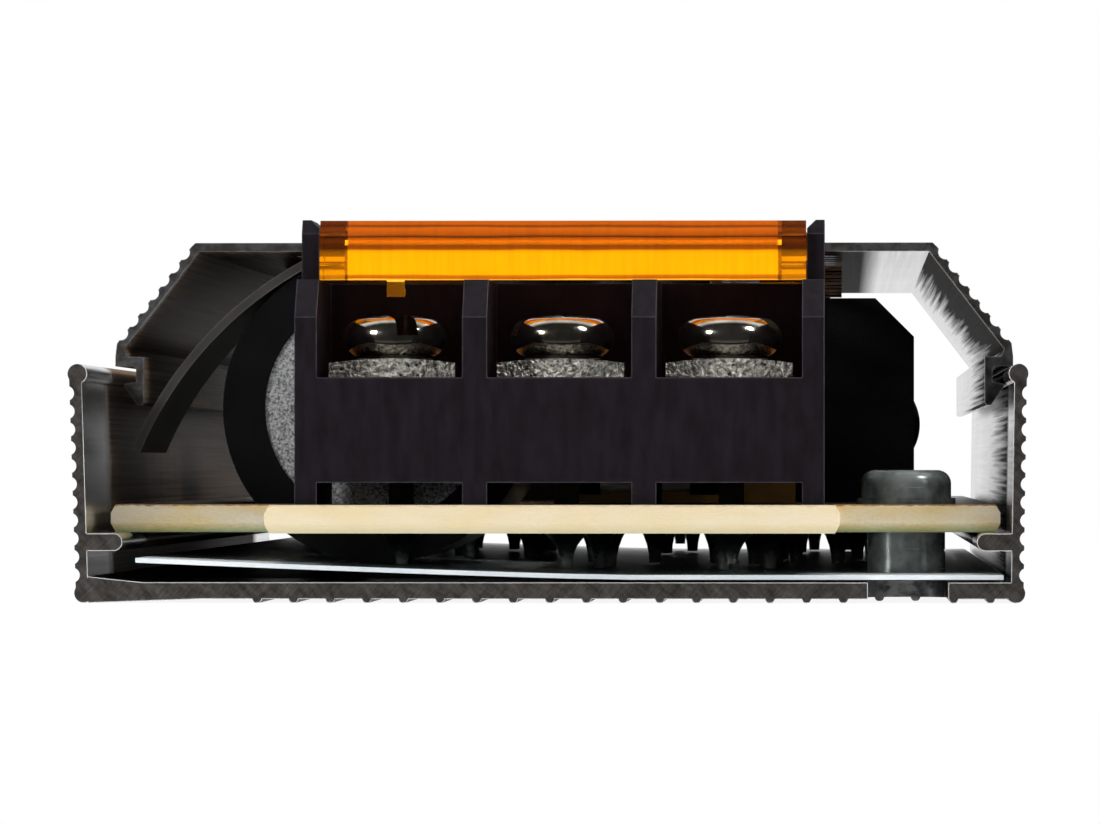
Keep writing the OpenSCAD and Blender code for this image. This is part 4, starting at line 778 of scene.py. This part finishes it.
def ring_of(shape, centre, side, up, radius, sides):
    """A round of corners about centre, in the plane of side and up."""
    return [shape.verts.new(centre + radius * (math.cos(math.tau * k / sides) * side
                                               + math.sin(math.tau * k / sides) * up))
            for k in range(sides)]


print("a piece is built from rings of corners")


# %% Sweep a wire along a path
WIRE_SIDES = 10


def swept_wire(name, path, radius, material):
    """A round wire along path, with both ends closed. Its section turns as little as it can."""
    shape = bmesh.new()
    side = None
    rings = []
    for i, point in enumerate(path):
        ahead = path[min(i + 1, len(path) - 1)] - path[max(i - 1, 0)]
        ahead.normalize()
        side = ahead.orthogonal() if side is None else side - ahead * side.dot(ahead)
        side.normalize()
        rings.append(ring_of(shape, point, side, ahead.cross(side), radius, WIRE_SIDES))
    for first, second in zip(rings, rings[1:]):
        for k in range(WIRE_SIDES):
            after = (k + 1) % WIRE_SIDES
            face = shape.faces.new((first[k], first[after], second[after], second[k]))
            face.smooth = True
    shape.faces.new(reversed(rings[0]))
    shape.faces.new(rings[-1])
    return built(name, shape, [material])


print("a wire's section has", WIRE_SIDES, "sides")


# %% Wind the toroids
WIRE = 0.8 * MM
CLEAR = 0.03 * MM
TURNS = 8
SPREAD = math.radians(122)
BORE_SHARE = 0.55
STEP = 1.2 * MM


def wind_half(name, core, start_angle, body):
    """One half winding of a toroid: TURNS turns spread over SPREAD, with both tails left short."""
    low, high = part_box(core)
    centre = (low + high) / 2
    outer = (high.x - low.x) / 2
    inner = outer * BORE_SHARE
    away = WIRE / 2 + CLEAR
    # The wire is bent over the core's edges, so each corner of its ring is cut off a little.
    ease = away * 0.2
    ring = [(inner - away, low.z - ease), (inner - away, high.z + ease),
            (inner + ease, high.z + away), (outer - ease, high.z + away),
            (outer + away, high.z - ease), (outer + away, low.z + ease),
            (outer - ease, low.z - away), (inner + ease, low.z - away)]
    # Points are added along the ring's long sides, so that the wire bends only at its corners.
    steps = []
    for (r0, z0), (r1, z1) in zip(ring, ring[1:] + ring[:1]):
        parts = max(1, round(math.hypot(r1 - r0, z1 - z0) / STEP))
        steps += [(r0 + (r1 - r0) * k / parts, z0 + (z1 - z0) * k / parts) for k in range(parts)]
    path = []
    total = TURNS * len(steps)
    for i in range(total):
        r, z = steps[i % len(steps)]
        angle = start_angle + SPREAD * i / total
        path.append(Vector((centre.x + r * math.cos(angle), centre.y + r * math.sin(angle), z)))
    piece = swept_wire(name, path, WIRE / 2, copper)
    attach(piece, body)
    return piece


for core, coil in (("choke_core", "choke_winding"), ("inductor_core", "inductor_winding")):
    halves = [wind_half(f"{coil}_{n}", core, math.radians(a), "case")
              for n, a in ((1, 29), (2, 209))]
    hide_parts(coil)
    print(coil, "wound with", TURNS * 2, "turns")

# %% [markdown]
# ## Film resistors, banded
#
# A resistor is a ceramic rod with a cap pressed on each end, dipped in blue lacquer and ringed
# with four or five colours. The body is turned from its outline, and each ring of faces takes
# the lacquer or a band.

# %% Resistor lacquers
lacquer = dipped_epoxy("resistor_lacquer", "#5C9CB8")
band_paints = [dipped_epoxy("band_" + word, code) for word, code in (
    ("brown", "#5A3418"), ("black", "#1C1A18"), ("red", "#B02820"), ("gold", "#B08A38"))]
print(lacquer.name, "and", len(band_paints), "band paints")

# %% Turn the resistors
# Radius and place along the rod, in millimetres.
CAP_R, ROD_END = 1.25, 2.8
RESISTOR_OUTLINE = [(0, -ROD_END), (1.0, -ROD_END), (CAP_R, -2.55), (CAP_R, -2.35), (CAP_R, -1.75),
                    (1.2, -1.5), (1.0, -1.15), (1.0, -0.85), (1.0, -0.5), (1.0, -0.15), (1.0, 0.25),
                    (1.0, 0.6), (1.0, 1.15), (1.2, 1.5), (CAP_R, 1.75), (CAP_R, 2.35), (CAP_R, 2.55),
                    (1.0, ROD_END), (0, ROD_END)]
# The outline's segments that are a band, and which paint each one takes.
BANDS = {3: 1, 7: 2, 9: 3, 14: 4}
ROD_SIDES = 24
RESISTORS = 4
STAGGER = 1.2 * MM


def banded_resistor(name, centre):
    shape = bmesh.new()
    rings = []
    for r, along in RESISTOR_OUTLINE:
        place = centre + Vector((0, along * MM, 0))
        rings.append(ring_of(shape, place, Vector((1, 0, 0)), Vector((0, 0, 1)), r * MM, ROD_SIDES)
                     if r else [shape.verts.new(place)] * ROD_SIDES)
    for i, (first, second) in enumerate(zip(rings, rings[1:])):
        for k in range(ROD_SIDES):
            after = (k + 1) % ROD_SIDES
            # At the tips two corners of a face are one, so that it is a triangle.
            corners = dict.fromkeys((first[k], first[after], second[after], second[k]))
            face = shape.faces.new(list(corners))
            face.material_index = BANDS.get(i, 0)
            face.smooth = True
    return built(name, shape, [lacquer] + band_paints)


low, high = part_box("resistors")
pitch = (high.x - low.x - 2 * CAP_R * MM) / (RESISTORS - 1)
for n in range(RESISTORS):
    centre = Vector((low.x + CAP_R * MM + n * pitch,
                     low.y + ROD_END * MM + (n % 2) * STAGGER, (low.z + high.z) / 2))
    made = banded_resistor(f"resistor_{n + 1}", centre)
    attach(made, "case")
    if n == 0:
        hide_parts("resistors")
print(RESISTORS, "banded resistors,", round(pitch / MM, 2), "mm apart")

# %% [markdown]
# ## The studio
#
# The object stands on a pale floor in plain soft light. The floor and the world look white to the
# lens and through the amber covers, but they light the object only gently. Gloss sees them white
# behind the object and dark in front, as in a room where only the backdrop is lit.

# %% Floor
FLOOR_HALF = 3.0
FLOOR_BELOW = 0.02 * MM
# What gloss sees on the dark side of the room, as a share of white, and where along the case, in
# metres, the floor turns white for it.
DARK_SIDE = 0.03
FLOOR_TURNS = -0.12, 0.12
# How far from the middle the floor's own shadow begins to fade and is gone, in metres.
SHADOW_FADES = 0.1, 0.3


def pale_floor(name):
    material, tree, shader, place = finish(name)
    tree.nodes.remove(shader)
    tone = add(tree, "ValToRGB", {"Fac": grain(tree, place, (400, 400, 400))}, [
        (0.3, paint("#F4F4F4")), (0.7, paint("#FAFAFA"))])
    seen = add(tree, "LightPath").outputs
    clear_view = add(tree, "Math", {0: seen["Is Camera Ray"], 1: seen["Is Transmission Ray"]},
                     operation="MAXIMUM")
    along = add(tree, "SeparateXYZ", {"Vector": place}).outputs["Y"]
    room = add(tree, "MapRange", {"Value": along, "From Min": FLOOR_TURNS[0],
                                  "From Max": FLOOR_TURNS[1], "To Min": DARK_SIDE, "To Max": 1.0})
    glow = add(tree, "Emission", {
        "Color": grey(1.0),
        "Strength": add(tree, "Mix", {0: clear_view, 2: room, 3: 1.0}, data_type="FLOAT")})
    # Near the object a tenth of the matt floor is kept, so that it has a soft contact shadow.
    gone = add(tree, "VectorMath", {0: place}, operation="LENGTH")
    bright = add(tree, "MapRange", {"Value": gone, "From Min": SHADOW_FADES[0],
                                    "From Max": SHADOW_FADES[1], "To Min": 0.9, "To Max": 1.0})
    share = add(tree, "Math", {0: clear_view, 1: bright}, operation="MULTIPLY")
    share = add(tree, "Math", {0: share, 1: seen["Is Glossy Ray"]}, operation="MAXIMUM")
    matt = add(tree, "BsdfDiffuse", {"Color": tone})
    out = next(n for n in tree.nodes if n.type == "OUTPUT_MATERIAL")
    feed(tree, out, {"Surface": add(tree, "MixShader", {0: share, 1: matt, 2: glow})})
    return material


floor_mesh = bpy.data.meshes.new("bench_floor")
corners = [(-1, -1), (1, -1), (1, 1), (-1, 1)]
floor_mesh.from_pydata([(x * FLOOR_HALF, y * FLOOR_HALF, cad_low.z - FLOOR_BELOW) for x, y in corners],
                       [], [(0, 1, 2, 3)])
floor_mesh.materials.append(pale_floor("pale_floor"))
bench_floor = bpy.data.objects.new("bench_floor", floor_mesh)
bpy.context.scene.collection.objects.link(bench_floor)
print("floor", 2 * FLOOR_HALF, "m wide")

# %% World
WORLD_LIGHT = 0.45
# How much a direction points to the back where the world begins to turn white for gloss, and is.
WORLD_TURNS = -0.02, 0.28
world = bpy.data.worlds.new("white_studio")
bpy.context.scene.world = world
world.use_nodes = True
sky = world.node_tree
sky.nodes.clear()
seen = add(sky, "LightPath").outputs
clear_view = add(sky, "Math", {0: seen["Is Camera Ray"], 1: seen["Is Transmission Ray"]},
                 operation="MAXIMUM")
toward = add(sky, "SeparateXYZ", {"Vector": add(sky, "TexCoord").outputs["Generated"]})
room = add(sky, "MapRange", {"Value": toward.outputs["Y"], "From Min": WORLD_TURNS[0],
                             "From Max": WORLD_TURNS[1], "To Min": DARK_SIDE, "To Max": 1.0},
           interpolation_type="SMOOTHSTEP")
for_gloss = add(sky, "Mix", {0: seen["Is Glossy Ray"], 2: WORLD_LIGHT, 3: room}, data_type="FLOAT")
strength = add(sky, "Mix", {0: clear_view, 2: for_gloss, 3: 1.0}, data_type="FLOAT")
backdrop = add(sky, "Background", {"Color": grey(1.0), "Strength": strength})
add(sky, "OutputWorld", {"Surface": backdrop})
print("the world lights the object with", WORLD_LIGHT, "of white")

# %% [markdown]
# ## The lamps
#
# A large softbox overhead carries most of the light. Two smaller ones in front make the bright
# spots on the screws. Two low ones reach under the board. The largest are kept out of gloss, so
# that they draw no pale patch on the covers and the screws.

# %% Lamps
# Name, place and size in metres, power in watts, and whether gloss sees it.
LAMPS = [
    ("overhead_softbox", (0, 0.12, 0.6), (0.6, 0.4), 4.0, False),
    ("left_softbox", (-0.45, -0.45, 0.3), (0.12, 0.12), 2.2, True),
    ("right_softbox", (0.4, -0.3, 0.5), (0.1, 0.2), 1.8, True),
    ("front_softbox", (-0.1, -0.7, 0.04), (0.4, 0.2), 1.0, False),
    ("low_strip", (-0.45, -0.38, 0.02), (0.05, 0.08), 0.2, True),
]
middle = (cad_low + cad_high) / 2
for name, place, size, power, in_gloss in LAMPS:
    light = bpy.data.lights.new(name, "AREA")
    light.shape = "RECTANGLE"
    light.size, light.size_y = size
    light.energy = power
    lamp = bpy.data.objects.new(name, light)
    lamp.location = place
    lamp.rotation_mode = "QUATERNION"
    lamp.rotation_quaternion = (middle - Vector(place)).to_track_quat("-Z", "Y")
    lamp.visible_glossy = in_gloss
    bpy.context.scene.collection.objects.link(lamp)
print(len(LAMPS), "lamps of", round(sum(lamp[3] for lamp in LAMPS), 1), "W in all")
